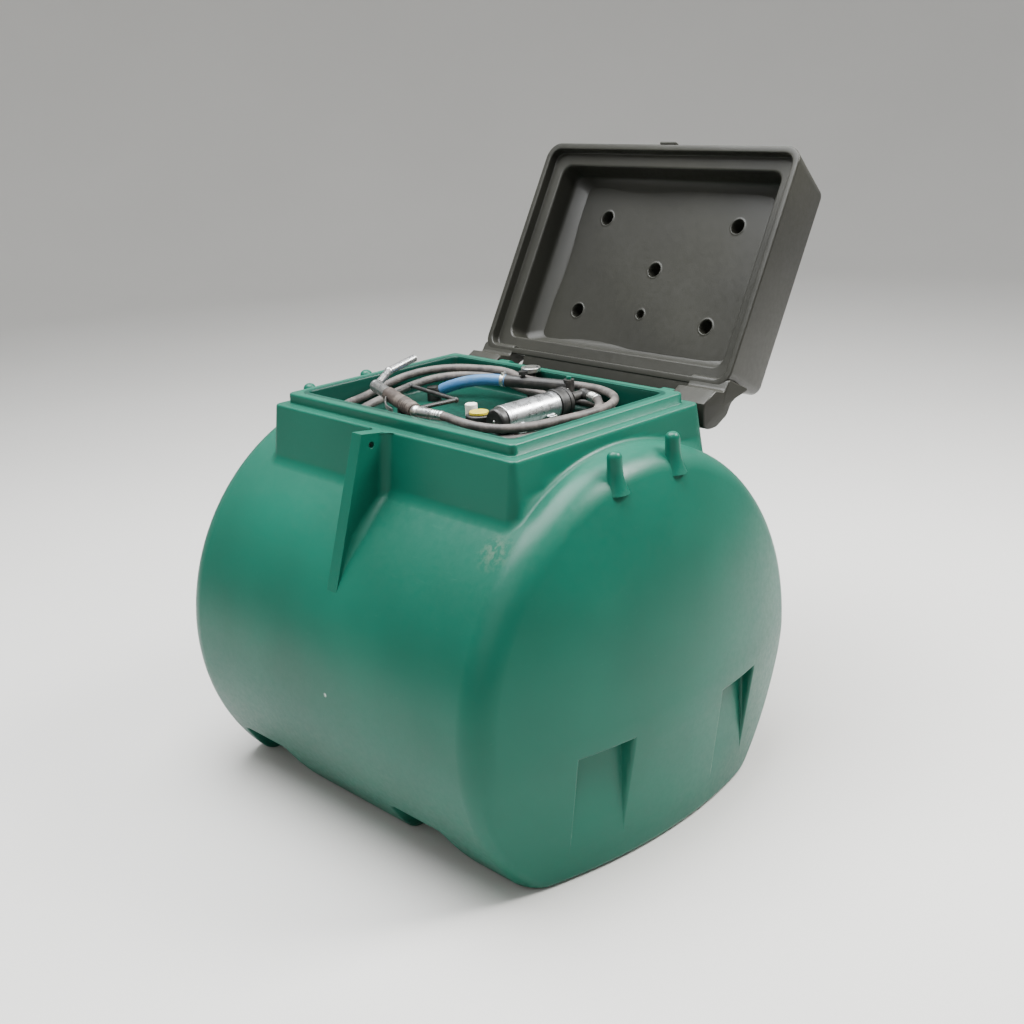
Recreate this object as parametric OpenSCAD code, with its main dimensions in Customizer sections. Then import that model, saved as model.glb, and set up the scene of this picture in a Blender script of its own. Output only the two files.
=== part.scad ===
// Horizontal moulded diesel tank with an equipment box, hinged lid and pump kit.
// Millimetres. Z is up, the ground is z = 0, X runs along the tank, -Y is the latch side.

/* [Tank] */
// Outside diameter of the barrel
tank_d = 1216; // [1000:2:1400]
// Length of the barrel beyond half the box at each end
barrel_over = 66; // [40:1:120]
// Height of the barrel's axis above the ground
axis_z = 433; // [400:1:520]
// Radius of the dished ends
dish_r = 1548; // [1200:2:2000]
// Knuckle radius between barrel and dish
knuckle_r = 90; // [60:1:140]
// Thickness of the moulded wall
wall = 10; // [6:0.5:14]
// Depth of the crease across each end below the barrel's axis
crease_drop = 48; // [20:1:100]
// How far the ends lean in between crease and ground
toe_in = 68; // [30:1:110]

/* [End recesses] */
// Distance from the middle to the near side of a recess
recess_y = 174; // [120:1:220]
// Width of a recess
recess_w = 170; // [100:1:190]
// Depth of the recess ceiling below the crease
recess_drop = 15; // [10:1:60]
// Depth of the recess back wall behind the dish
recess_in = 45; // [20:1:60]

/* [Fork pockets] */
// Distance between the middles of the two pockets
pocket_pitch = 676; // [560:1:690]
// Barrel left between its end and the far pocket's wall
pocket_inset = 2; // [1:1:60]
// Width of a pocket at the ground
pocket_w = 250; // [180:1:270]
// Height of a pocket
pocket_h = 122; // [80:1:150]
// Lean of each pocket side
pocket_lean = 28; // [5:1:50]

/* [Equipment box] */
// Offset of the box along the tank
box_x = 27; // [-40:1:40]
// Length of the box at its ledge
box_l = 960; // [860:2:1000]
// Width of the box at its ledge
box_w = 686; // [600:2:740]
// Height of the ledge above the barrel's top
ledge_up = 39; // [30:1:90]
// Spread of the box walls for each millimetre down
box_draft = 0.12; // [0.02:0.01:0.2]
// Corner radius of the box at its ledge
box_r = 16; // [8:1:40]
// Width of the ledge outside the rim
ledge_w = 28; // [26:1:40]
// Height of the rim above the ledge
rim_h = 30; // [15:1:50]
// Width of the rim's top
rim_w = 38; // [24:1:60]
// Depth of the box below its ledge
box_depth = 54; // [40:1:58]
// Corner radius inside the box
cavity_r = 24; // [12:1:60]

/* [Latch rib] */
// Thickness of the latch rib
rib_w = 40; // [24:1:60]
// Reach of the rib in front of the ledge
rib_out = 80; // [60:1:110]
// Depth below the ledge where the rib runs out
rib_drop = 380; // [300:1:420]
// Rise of the rib's front corner above the ledge
rib_up = 10; // [0:1:20]
// Diameter of the padlock hole
lock_d = 17; // [10:1:22]
// Distance of the padlock hole in front of the ledge
lock_out = 52; // [35:1:60]
// Depth of the padlock hole below the ledge
lock_drop = 24; // [18:1:50]

/* [Pegs] */
// Distance of the pegs beyond the barrel's end
peg_in = 66; // [50:1:76]
// Distance between the two pegs of an end
peg_pitch = 215; // [150:1:300]
// Diameter of a peg at its top
peg_top_d = 36; // [24:1:50]
// Diameter of a peg at its root
peg_root_d = 62; // [44:1:80]
// Height of a peg with its root
peg_h = 106; // [100:1:112]
// Depth of the peg tops below the ledge
peg_drop = 10; // [6:1:14]

/* [Hinge] */
// Distance of the hinge line behind the ledge
hinge_back = 61; // [56:1:80]
// Depth of the hinge line below the ledge
hinge_drop = 24; // [15:1:40]
// Radius of the lid's hinge lobes
lobe_r = 44; // [30:1:46]
// Width of a hinge lobe
lobe_w = 130; // [80:1:180]
// Thickness of the lugs on the box
lug_w = 44; // [30:1:70]
// Radius of the lugs' ends
lug_r = 28; // [20:1:36]
// Diameter of the hinge pins
pin_d = 14; // [8:1:20]
// Running clearance round the hinge pins
pin_gap = 0.1; // [0.05:0.01:0.1]
// Side gap between lobes and lugs
lobe_gap = 5; // [4:0.5:8]
// Angle of the open lid
lid_open = 119.4; // [90:0.1:125]

/* [Lid] */
// Length of the lid at its lip
lid_l = 962; // [860:2:1002]
// Width of the lid at its lip
lid_w = 698; // [610:2:750]
// Depth of the lid
lid_h = 211; // [160:1:260]
// Inward lean of the lid's sides
lid_taper = 41; // [20:1:46]
// Corner radius of the lid at its lip
lid_r = 54; // [50:1:70]
// Thickness of the lid's skins
lid_wall = 6; // [4:0.5:8]
// Width of the lip
lip_w = 21; // [14:1:24]
// Gap between the shut lid and the box
seat_gap = 5; // [5:0.5:8]
// Distance from lip's inner edge to the seat's inner edge
seat_w = 42; // [30:1:50]
// Depth at which the inner wall turns to the sloping band
band_z = 95; // [80:1:100]
// Depth of the lid's inner floor
tray_z = 120; // [110:1:150]
// Breadth of the sloping band at the ends
band_x = 45; // [20:1:60]
// Breadth of the sloping band at front and back
band_y = 27; // [15:1:40]
// Diameter of the deep dimples
dimple_d = 40; // [25:1:50]
// Diameter of the small dimple
dimple_small_d = 24; // [18:1:30]
// Spacing of the dimples along the lid
dimple_dx = 506; // [400:2:560]
// Spacing of the dimples across the lid
dimple_dy = 306; // [240:2:360]
// Width of the finger tab on the lid's front
tab_w = 60; // [40:1:90]
// Reach of the finger tab
tab_out = 8; // [5:1:14]

/* [Pump kit] */
// Diameter of the pump motor
motor_d = 76; // [50:1:80]
// Length of the motor's silver barrel
motor_l = 195; // [160:1:200]
// Place of the motor along the tank
motor_x = 172; // [160:1:200]
// Front end of the motor's silver barrel
motor_y = -62; // [-80:1:-50]
// Thickness of the cradle under the motor
cradle_t = 4; // [3:1:10]
// Diameter of the pump head
pump_d = 84; // [76:1:84]
// Thickness of the pump head
pump_t = 45; // [40:1:48]
// Distance of the suction elbow behind the pump head
elbow_back = 28; // [26:1:32]
// Diameter of the black suction pipe
pipe_d = 34; // [28:1:38]
// Length of the black suction pipe
pipe_l = 200; // [160:1:220]
// Height of the suction pipe above the ledge
pipe_up = 24; // [20:1:30]
// Turn of the suction line in plan
pipe_turn = 14.7; // [5:0.1:20]
// Diameter of the blue suction hose
suction_d = 33; // [25:1:36]
// Bend radius of the blue hose
bend_r = 500; // [400:1:600]
// Angle through which the blue hose bends down
bend_a = 24; // [10:1:26]
// Diameter of the delivery hose
hose_d = 23; // [18:0.5:23]
// Diameter of the riser pipe
riser_d = 28; // [20:1:30]
// Diameter of the riser's cap
cap_d = 56; // [40:1:58]
// Height of the riser above the ledge
riser_up = 33; // [20:1:40]
// Diameter of the flow meter
meter_d = 72; // [50:1:80]
// Height of the flow meter
meter_h = 46; // [30:1:60]
// Radius of the nozzle's grip
grip_r = 20; // [14:1:22]
// Radius of the nozzle's swivel
swivel_r = 15; // [12:1:17]
// Radius of the nozzle's spout
spout_r = 11; // [8:1:13]
// Radius of the rods of the nozzle's guard
guard_r = 6; // [3:1:8]

/* [Hidden] */
$fn = 64;
R = tank_d / 2;
Ri = R - wall;
knuckle_c = R - knuckle_r;
box_hx = box_l / 2;
tangent_x = box_hx + barrel_over;
dish_x = tangent_x - sqrt(pow(dish_r - knuckle_r, 2) - pow(knuckle_c, 2));
crease_z = axis_z - crease_drop;
recess_top = crease_z - recess_drop;
pocket_far_x = pocket_w / 2 + pocket_inset + wall - tangent_x;
pocket_near_x = pocket_far_x + pocket_pitch;
ledge_z = axis_z + R + ledge_up;
box_hy = box_w / 2;
rim_hx = box_hx - ledge_w;
rim_hy = box_hy - ledge_w;
cav_hx = rim_hx - rim_w;
cav_hy = rim_hy - rim_w;
floor_z = ledge_z - box_depth;
rim_z = ledge_z + rim_h;
hinge_y = box_hy + hinge_back;
hinge_z = ledge_z - hinge_drop;
lid_hx = lid_l / 2;
lid_hy = lid_w / 2;
lid_z = ledge_z + seat_gap;
lid_y = box_hy + 3 - lid_hy;
motor_z = floor_z + cradle_t + motor_d / 2;
pump_y = motor_y + motor_l;
back_y = pump_y + pump_t;
elbow = [motor_x - 7, back_y + elbow_back, ledge_z + pipe_up];
seam = 0.02;
big = 3000;

green = [0.05, 0.45, 0.38];
black = [0.09, 0.09, 0.08];
steel = [0.75, 0.76, 0.77];

// A prism with leaning sides: half sizes a at the bottom and b at the top.
module lean_box(a, b, z0, z1) {
    intersection() {
        rotate([90, 0, 0]) linear_extrude(height = 2 * max(a[1], b[1]) + 2, center = true)
            polygon([[-a[0], z0], [a[0], z0], [b[0], z1], [-b[0], z1]]);
        rotate([90, 0, 90]) linear_extrude(height = 2 * max(a[0], b[0]) + 2, center = true)
            polygon([[-a[1], z0], [a[1], z0], [b[1], z1], [-b[1], z1]]);
    }
}

// A rounded box whose corner radius goes from r0 to r1, so its sides lean.
module soft_box(hx, hy, r0, r1, z0, z1) {
    cx = hx - r0;
    cy = hy - r0;
    union() {
        lean_box([cx, hy], [cx, cy + r1], z0, z1);
        lean_box([hx, cy], [cx + r1, cy], z0, z1);
        for (sx = [-1, 1], sy = [-1, 1])
            translate([sx * cx, sy * cy, z0])
                cylinder(h = z1 - z0, r1 = r0, r2 = r1);
    }
}

// A cylinder from point a to point b.
module rod(a, b, r) {
    v = b - a;
    h = norm(v);
    translate(a) rotate([0, acos(v[2] / h), atan2(v[1], v[0])]) cylinder(h = h, r = r);
}

// Cross-section of one dished end beyond the barrel, inset by t. It is turned about Y.
module end_section(t) {
    turn = acos(knuckle_c / (dish_r - knuckle_r));
    kr = knuckle_r - t;
    dr = dish_r - t;
    polygon(concat([[0, tangent_x]],
        [for (i = [0:9]) let (a = turn * i / 9)
            [knuckle_c + kr * cos(a), tangent_x + kr * sin(a)]],
        [for (i = [1:9]) let (a = turn + (90 - turn) * i / 9)
            [dr * cos(a), dish_x + dr * sin(a)]]));
}

// The solid inside the wall's face of one end, with its flat foot and leaning toe.
module end_form(t) {
    difference() {
        translate([0, 0, axis_z]) rotate([0, 90, 0]) rotate_extrude($fn = 120) end_section(t);
        translate([-big, -big, t - big]) cube([2 * big, 2 * big, big]);
        difference() {
            translate([tangent_x - 1, -R - 50, -1]) cube([R + 200, 2 * R + 100, crease_z + 1]);
            translate([dish_x, 0, -1 * crease_z])
                cylinder(h = 2 * crease_z, r1 = dish_r - t - 2 * toe_in, r2 = dish_r - t, $fn = 240);
        }
        for (s = [-1, 1]) recess_block(s, t);
    }
}

// The block that sinks one recess into an end.
module recess_block(s, t) {
    y0 = s > 0 ? recess_y - t : -recess_y - recess_w - t;
    difference() {
        translate([tangent_x + 10, y0, -1]) cube([R, recess_w + 2 * t, recess_top + t + 1]);
        translate([dish_x, 0, -2])
            cylinder(h = recess_top + 50, r = dish_r - recess_in - t, $fn = 240);
    }
}

module end_shell() {
    translate([seam, 0, 0]) difference() {
        end_form(0);
        difference() {
            end_form(wall);
            translate([tangent_x - 5, -R, -R]) cube([5, 2 * R, 4 * R]);
        }
        translate([tangent_x - 1, 0, axis_z]) rotate([0, 90, 0])
            linear_extrude(height = 1.5) intersection() {
                circle(r = Ri, $fn = 160);
                translate([-2 * R + axis_z - wall, -R]) square([2 * R, 2 * R]);
            }
    }
}

module near_end() {
    color(green) end_shell();
}

module far_end() {
    color(green) mirror([1, 0, 0]) end_shell();
}

// A fork pocket's outline, grown by t, along Y.
module pocket_bar(x, t) {
    hb = pocket_w / 2 + t;
    ht = pocket_w / 2 - pocket_lean + t;
    translate([x, 0, 0]) rotate([90, 0, 0]) linear_extrude(height = 2 * R + 20, center = true)
        polygon([[-hb, -1], [hb, -1], [ht, pocket_h + t], [-ht, pocket_h + t]]);
}

module barrel_form(r, z0) {
    intersection() {
        translate([-tangent_x, 0, axis_z]) rotate([0, 90, 0])
            cylinder(h = 2 * tangent_x, r = r, $fn = 160);
        translate([-big, -big, z0]) cube([2 * big, 2 * big, big]);
    }
}

// The box's outer form down to the deepest place it meets the barrel, inset by t.
module box_form(t) {
    drop = ledge_z - axis_z;
    translate([box_x, 0, 0]) mirror([0, 0, 1])
        soft_box(box_hx - t, box_hy - t, box_r - t, box_r - t + box_draft * drop,
            -ledge_z, -axis_z);
}

module barrel() {
    color(green) difference() {
        barrel_form(R, 0);
        barrel_form(Ri, wall);
        box_form(wall);
        for (x = [pocket_near_x, pocket_far_x]) pocket_bar(x, wall);
    }
}

module fork_channels() {
    color(green) intersection() {
        barrel_form(R, 0);
        for (x = [pocket_near_x, pocket_far_x]) difference() {
            pocket_bar(x, wall);
            pocket_bar(x, 0);
        }
    }
}

module box_walls() {
    color(green) difference() {
        box_form(0);
        box_form(wall);
        translate([box_x, 0, 0]) translate([-big / 2, -big / 2, ledge_z - wall])
            cube([big, big, 50]);
        translate([-big / 2, 0, axis_z]) rotate([0, 90, 0]) cylinder(h = big, r = R, $fn = 160);
        translate([-big / 2, -big / 2, axis_z - 50]) cube([big, big, 51]);
    }
}

module box_rim() {
    color(green) translate([box_x, 0, 0]) difference() {
        union() {
            mirror([0, 0, 1]) soft_box(box_hx, box_hy, box_r, box_r + box_draft * wall,
                -ledge_z, -ledge_z + wall);
            soft_box(rim_hx, rim_hy, box_r, box_r, ledge_z - 1, rim_z);
        }
        soft_box(rim_hx - wall, rim_hy - wall, cavity_r, cavity_r, ledge_z - wall - 1,
            rim_z - wall);
        soft_box(cav_hx, cav_hy, cavity_r, cavity_r, ledge_z - 50, rim_z + 1);
    }
}

module box_liner() {
    color(green) translate([box_x, 0, 0]) difference() {
        soft_box(cav_hx + wall, cav_hy + wall, cavity_r + wall, cavity_r + wall,
            floor_z - wall, rim_z - wall);
        soft_box(cav_hx, cav_hy, cavity_r, cavity_r, floor_z - wall - 1, rim_z);
    }
}

module box_floor() {
    color(green) translate([box_x, 0, 0])
        soft_box(cav_hx, cav_hy, cavity_r, cavity_r, floor_z - wall, floor_z);
}

module latch_rib() {
    top_y = -box_hy - rib_out;
    foot_z = ledge_z - rib_drop;
    foot_y = -sqrt(pow(R, 2) - pow(foot_z - axis_z, 2));
    color(green) difference() {
        translate([box_x - rib_w / 2, 0, 0]) rotate([90, 0, 90]) linear_extrude(height = rib_w)
            polygon([[0, ledge_z - ledge_up], [-box_hy, ledge_z], [top_y, ledge_z + rib_up],
                [foot_y, foot_z], [0, foot_z]]);
        box_form(0);
        translate([-big / 2, 0, axis_z]) rotate([0, 90, 0]) cylinder(h = big, r = R, $fn = 160);
        translate([box_x - rib_w, -box_hy - lock_out, ledge_z - lock_drop]) rotate([0, 90, 0])
            cylinder(h = 2 * rib_w, d = lock_d, $fn = 48);
    }
}

module tie_pegs() {
    low = ledge_z - peg_drop - peg_h;
    color(green) difference() {
        for (sx = [-1, 1], sy = [-1, 1])
            translate([sx * (tangent_x + peg_in), sy * peg_pitch / 2, low])
                cylinder(h = peg_h, r1 = peg_root_d / 2, r2 = peg_top_d / 2, $fn = 48);
        translate([seam, 0, 0]) end_form(0);
        translate([-seam, 0, 0]) mirror([1, 0, 0]) end_form(0);
    }
}

lug_x = lid_hx - lobe_w - lobe_gap - lug_w / 2;

module hinge_lugs() {
    back = box_hy + box_draft * (hinge_drop + 70);
    color(green) difference() {
        for (s = [-1, 1]) translate([box_x + s * lug_x - lug_w / 2, 0, 0])
            rotate([90, 0, 90]) linear_extrude(height = lug_w) union() {
                translate([hinge_y, hinge_z]) circle(r = lug_r, $fn = 64);
                polygon([[box_hy - 20, hinge_z + lug_r - 8], [hinge_y, hinge_z + lug_r],
                    [hinge_y + lug_r * 0.6, hinge_z - lug_r * 0.8],
                    [back, hinge_z - 90], [box_hy - 20, hinge_z - 90]]);
            }
        box_form(0);
        translate([-big / 2, hinge_y, hinge_z]) rotate([0, 90, 0]) cylinder(h = big, d = pin_d);
    }
}

module hinge_pins() {
    inner = lug_x - lug_w / 2 - 4;
    color(steel) for (s = [-1, 1])
        translate([box_x + (s > 0 ? inner : -lid_hx + 12), hinge_y, hinge_z])
            rotate([0, 90, 0]) cylinder(h = lid_hx - 12 - inner, d = pin_d);
}

// Puts what is drawn for the shut lid into its open place.
module opened() {
    translate([0, hinge_y, hinge_z]) rotate([-lid_open, 0, 0])
        translate([box_x, lid_y - hinge_y, lid_z - hinge_z]) children();
}

module lid_shell() {
    hx = lid_hx - lip_w + lid_wall;
    hy = lid_hy - lip_w + lid_wall;
    lean = lid_taper / lid_h;
    low = lid_wall + lean * lid_wall;
    high = lid_wall + lean * (lid_h - lid_wall);
    color(black) opened() difference() {
        soft_box(lid_hx, lid_hy, lid_r, lid_r - lid_taper, 0, lid_h);
        soft_box(lid_hx - low, lid_hy - low, lid_r - low, lid_r - high, lid_wall,
            lid_h - lid_wall);
        soft_box(hx, hy, 40, 40, -2, lid_wall + 1);
    }
}

// The lid's inner tray, grown by t.
module tray_form(t, z0) {
    sx = lid_hx - lip_w - seat_w;
    sy = lid_hy - lip_w - seat_w;
    dz = rim_h;
    soft_box(lid_hx - lip_w + t, lid_hy - lip_w + t, 34 + t, 34 + t, z0, dz + t);
    soft_box(sx + t, sy + t, 34 + t, 28 + t, dz - 1, band_z + t);
    lean_box([sx - 7 + t, sy - 7 + t], [sx - 7 - band_x + t, sy - 7 - band_y + t],
        band_z + t, tray_z + t);
}

module dimple(x, y, d, t) {
    translate([x, y, tray_z - (t > 0 ? 0 : 1)])
        cylinder(h = lid_h - lid_wall - tray_z + (t > 0 ? 0 : 1) - (t > 0 ? 0 : lid_wall),
            r1 = d / 2 + t, r2 = d / 4 + t, $fn = 40);
}

module dimples(t) {
    for (sx = [-1, 1], sy = [-1, 1]) dimple(sx * dimple_dx / 2, sy * dimple_dy / 2, dimple_d, t);
    dimple(0, 0, dimple_d, t);
    dimple(0, dimple_dy * 0.46, dimple_small_d, t);
}

// The lid's inner skin between two depths.
module liner_band(z0, z1) {
    opened() intersection() {
        translate([-lid_l, -lid_w, z0]) cube([2 * lid_l, 2 * lid_w, z1 - z0]);
        difference() {
            tray_form(lid_wall, 0);
            tray_form(0, -1);
        }
    }
}

module lid_seat() {
    color(black) liner_band(-2, rim_h + lid_wall);
}

module lid_tray() {
    color(black) liner_band(rim_h + lid_wall + seam, tray_z - seam);
}

module lid_panel() {
    sx = lid_hx - lip_w - seat_w - 7 - band_x + lid_wall;
    sy = lid_hy - lip_w - seat_w - 7 - band_y + lid_wall;
    color(black) opened() difference() {
        union() {
            translate([-sx, -sy, tray_z]) cube([2 * sx, 2 * sy, lid_wall]);
            dimples(lid_wall);
        }
        dimples(0);
    }
}

module lid_lobes() {
    ax = hinge_y - lid_y;
    az = hinge_z - lid_z;
    color(black) opened() difference() {
        for (s = [-1, 1]) translate([s > 0 ? lid_hx - lobe_w : -lid_hx, 0, 0])
            rotate([90, 0, 90]) linear_extrude(height = lobe_w) union() {
                translate([ax, az]) circle(r = lobe_r, $fn = 72);
                polygon([[lid_hy - 30, 120], [lid_hy - 30, 2], [lid_hy + 8, 0],
                    [ax, az], [ax + lobe_r * 0.8, az + lobe_r * 0.6]]);
            }
        soft_box(lid_hx, lid_hy, lid_r, lid_r - lid_taper, 0, lid_h);
        translate([-big / 2, ax, az]) rotate([0, 90, 0])
            cylinder(h = big, r = pin_d / 2 + pin_gap);
    }
}

module lid_tab() {
    color(black) opened() difference() {
        translate([-tab_w / 2, -lid_hy - tab_out, 0]) cube([tab_w, tab_out + 20, 18]);
        soft_box(lid_hx, lid_hy, lid_r, lid_r - lid_taper, 0, lid_h);
    }
}

module pump_motor() {
    color(steel) translate([motor_x, motor_y, motor_z]) rotate([-90, 0, 0])
        cylinder(h = motor_l, d = motor_d);
}

module motor_cap() {
    color(black) translate([motor_x, motor_y - 24, motor_z]) rotate([-90, 0, 0])
        cylinder(h = 24, d = motor_d - 8);
}

module pump_head() {
    color(black) translate([motor_x, pump_y, motor_z]) rotate([-90, 0, 0])
        cylinder(h = pump_t, d = pump_d);
}

// Two saddles that carry the motor.
module pump_cradle() {
    hw = motor_d / 2 + 4;
    color(steel) difference() {
        for (y = [motor_y + 25, motor_y + motor_l - 55])
            translate([motor_x - hw, y, floor_z]) cube([2 * hw, 30, cradle_t + motor_d * 0.3]);
        translate([motor_x, motor_y - 50, motor_z]) rotate([-90, 0, 0])
            cylinder(h = motor_l + 100, d = motor_d + 2 * seam);
    }
}

outlet = [motor_x + 28, back_y + 48, motor_z + 16];
outlet_end = outlet + [33, -10, 0];

// Places what is drawn along the suction line, from its elbow towards local -X.
module on_suction() {
    translate(elbow) rotate([0, 0, pipe_turn]) children();
}

module pump_ports() {
    color(black) {
        on_suction() rod([0, 0, 0], [-pipe_l, 0, 0], pipe_d / 2);
        rod([elbow[0], elbow[1], motor_z - 15], elbow + [0, 0, 20], 15);
        rod([elbow[0], back_y, motor_z], [elbow[0], elbow[1], motor_z], 12);
    }
}

// The delivery elbow, which the hose is fixed to.
module outlet_port() {
    color(black) union() {
        rod([outlet[0], back_y, outlet[2]], outlet, 13);
        translate(outlet) rotate([0, 0, 135]) sphere(r = 16);
        rod(outlet, outlet_end, 14);
    }
}

module bleed_screw() {
    color([0.35, 0.5, 0.3]) translate(elbow + [0, 0, 20]) cylinder(h = 8, d = 14);
}

// A valve's knob on the suction pipe.
module valve_knob() {
    color(black) on_suction() difference() {
        translate([-145, 0, 0]) union() {
            cylinder(h = pipe_d / 2 + 10, r = 6);
            translate([0, 0, pipe_d / 2 + 5]) cylinder(h = 10, r = 13);
        }
        rod([0, 0, 0], [-pipe_l, 0, 0], pipe_d / 2 + seam);
    }
}

hose_run = 20;

// The blue hose: a short straight, then a long downward bend.
module blue_hose() {
    far = bend_r + 60;
    color([0.25, 0.45, 0.65]) on_suction() translate([-pipe_l, 0, 0]) union() {
        rod([-seam, 0, 0], [-hose_run, 0, 0], suction_d / 2);
        translate([-hose_run, 0, -bend_r]) rotate([90, 0, 0]) intersection() {
            rotate_extrude($fn = 240) translate([bend_r, 0]) circle(d = suction_d, $fn = 32);
            linear_extrude(height = 80, center = true)
                polygon([[0, 0], [0, far], [-far * tan(bend_a), far]]);
        }
    }
}

module hose_clamps() {
    color(steel) on_suction() difference() {
        rod([-pipe_l - 4, 0, 0], [-pipe_l - 16, 0, 0], suction_d / 2 + 2);
        rod([-pipe_l, 0, 0], [-pipe_l - hose_run, 0, 0], suction_d / 2 + seam);
    }
}

// The pipe from the floor that the blue hose's lower end is pushed on.
module suction_stand() {
    c = [-pipe_l - hose_run - bend_r * sin(bend_a), 0, bend_r * (cos(bend_a) - 1)];
    v = [-cos(bend_a), 0, -sin(bend_a)];
    color(black) on_suction() union() {
        rod(c + seam * v, c + 32 * v, suction_d / 2 - 2);
        translate([c[0] + 32 * v[0], 0, floor_z - elbow[2]])
            cylinder(h = c[2] - (floor_z - elbow[2]) + 6, r = suction_d / 2 + 4);
    }
}

module riser_pipe() {
    color(black) translate([-25, cav_hy - 29, floor_z])
        cylinder(h = ledge_z + riser_up - floor_z, d = riser_d);
}

module riser_cap() {
    color(steel) translate([-25, cav_hy - 29, ledge_z + riser_up]) cylinder(h = 14, d = cap_d);
}

module meter_body() {
    color(black) translate([88, -62, floor_z]) cylinder(h = meter_h, d = meter_d);
}

module meter_cap() {
    color([0.75, 0.7, 0.2]) translate([88, -62, floor_z + meter_h])
        cylinder(h = 8, d = meter_d - 20);
}

module drain_knob() {
    color([0.85, 0.85, 0.82]) translate([14, -22, floor_z]) cylinder(h = meter_h + 10, d = 34);
}

// Route of the delivery hose in the box, from the box's middle and the ledge, in turns
// over the floor from the pump's outlet to the nozzle's swivel.
route = [[235, 207, 4], [261, 191, 1], [283, 166, -5], [298, 130, -13], [306, 84, -23],
    [308, 30, -33], [306, -30, -40], [298, -90, -42], [281, -146, -42], [245, -196, -42],
    [188, -232, -42], [123, -246, -42], [43, -250, -42], [-47, -250, -42], [-137, -250, -42],
    [-217, -244, -42], [-279, -222, -42], [-323, -184, -40], [-345, -130, -35],
    [-352, -70, -27], [-349, -10, -16], [-337, 50, -4], [-317, 106, 5], [-283, 154, 9],
    [-235, 186, 10], [-177, 203, 10], [-117, 208, 4], [-57, 206, -7], [13, 210, -14],
    [73, 222, -20], [123, 242, -26], [178, 258, -30], [235, 252, -30], [285, 222, -28],
    [321, 172, -25], [335, 110, -22], [335, 50, -20], [328, -10, -18], [317, -70, -18],
    [301, -130, -18], [270, -186, -18], [219, -226, -18], [153, -245, -18], [73, -251, -18],
    [-17, -251, -18], [-107, -251, -18], [-197, -251, -18], [-277, -243, -19],
    [-339, -215, -21], [-377, -168, -22], [-394, -105, -20], [-399, -40, -10], [-393, 25, 6],
    [-373, 90, 18], [-337, 146, 24], [-289, 186, 26], [-232, 210, 26], [-172, 227, 26],
    [-117, 228, 24], [-54, 218, 19], [18, 226, 16], [83, 246, 15], [143, 259, 14],
    [198, 261, 13], [253, 247, 11], [299, 214, 9], [325, 164, 7], [335, 105, 6], [333, 45, 6],
    [324, -15, 6], [313, -75, 6], [296, -132, 7], [265, -180, 10], [221, -210, 15],
    [168, -220, 20], [104, -219.7, 25]];
function unit(v) = v / norm(v);
function along(p, i) = unit(p[min(i + 1, len(p) - 1)] - p[max(i - 1, 0)]);
function ring(p, i, r, n) = let (t = along(p, i), a = unit(cross(t, [0, 0, 1])),
    b = cross(t, a)) [for (k = [0:n - 1]) p[i] + r * (a * cos(360 * k / n) + b * sin(360 * k / n))];

module tube(p, r, n) {
    m = len(p);
    pts = [for (i = [0:m - 1]) each ring(p, i, r, n)];
    side = [for (i = [0:m - 2], k = [0:n - 1])
        [i * n + k, i * n + (k + 1) % n, (i + 1) * n + (k + 1) % n, (i + 1) * n + k]];
    tri = [for (f = side) each [[f[0], f[1], f[2]], [f[0], f[2], f[3]]]];
    caps = [[for (k = [n - 1:-1:0]) k], [for (k = [0:n - 1]) (m - 1) * n + k]];
    polyhedron(points = pts, faces = concat(tri, caps));
}

module delivery_hose() {
    p = concat([outlet_end + seam * unit(outlet_end - outlet)],
        [for (q = route) q + [box_x, 0, ledge_z]], [swivel_a + seam * unit(swivel_a - swivel_b)]);
    color([0.35, 0.33, 0.31]) tube(p, hose_d / 2, 8);
}

swivel_a = [box_x + 58, -224, ledge_z + 25];
swivel_b = [box_x + 5, -229, ledge_z + 25];
grip_end = [box_x - 192, -160, ledge_z + 30];
spout_mid = [box_x - 327, -48, ledge_z + 56];
spout_tip = [box_x - 342, 60, ledge_z + 72];
grip_v = unit(grip_end - swivel_b);
head_end = grip_end + 105 * grip_v;

module nozzle_swivel() {
    color(steel) union() {
        rod(swivel_a, swivel_b, swivel_r);
        translate(swivel_b) rotate([0, 0, 180]) sphere(r = swivel_r + 3);
    }
}

module nozzle_body() {
    color(black) difference() {
        rod(swivel_b + 8 * grip_v, grip_end, grip_r);
        translate(swivel_b) sphere(r = swivel_r + 3 + seam);
    }
}

module nozzle_head() {
    color(steel) union() {
        rod(grip_end + seam * grip_v, head_end, grip_r - 3);
        translate(head_end) rotate([0, 0, 160]) sphere(r = grip_r - 2);
    }
}

module nozzle_spout() {
    foot = head_end + (grip_r - 2 + seam) * unit(spout_mid - head_end);
    color(steel) union() {
        rod(foot, spout_mid, spout_r);
        translate(spout_mid) sphere(r = spout_r + 2);
        rod(spout_mid, spout_tip, spout_r);
    }
}

// The guard round the nozzle's lever, in three rods with a ball at each corner.
module nozzle_guard() {
    g0 = swivel_b + (norm(grip_end - swivel_b) - 14) * grip_v;
    g1 = [box_x - 212, -65, ledge_z + 32];
    g2 = [box_x - 7, -80, ledge_z + 24];
    g3 = swivel_b + 26 * grip_v;
    color(black) difference() {
        union() {
            rod(g0, g1, guard_r);
            translate(g1) rotate([0, 0, 130]) sphere(r = guard_r + 2);
            rod(g1, g2, guard_r);
            translate(g2) sphere(r = guard_r + 2);
            rod(g2, g3, guard_r);
        }
        rod(swivel_b, grip_end + 20 * grip_v, grip_r + seam);
    }
}

// A post with a saddle that carries the nozzle.
module nozzle_rest() {
    color(black) difference() {
        translate([box_x - 97, -193, floor_z]) cylinder(h = ledge_z + 12 - floor_z, r = 14);
        rod(swivel_b, grip_end, grip_r + seam);
    }
}

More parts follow.
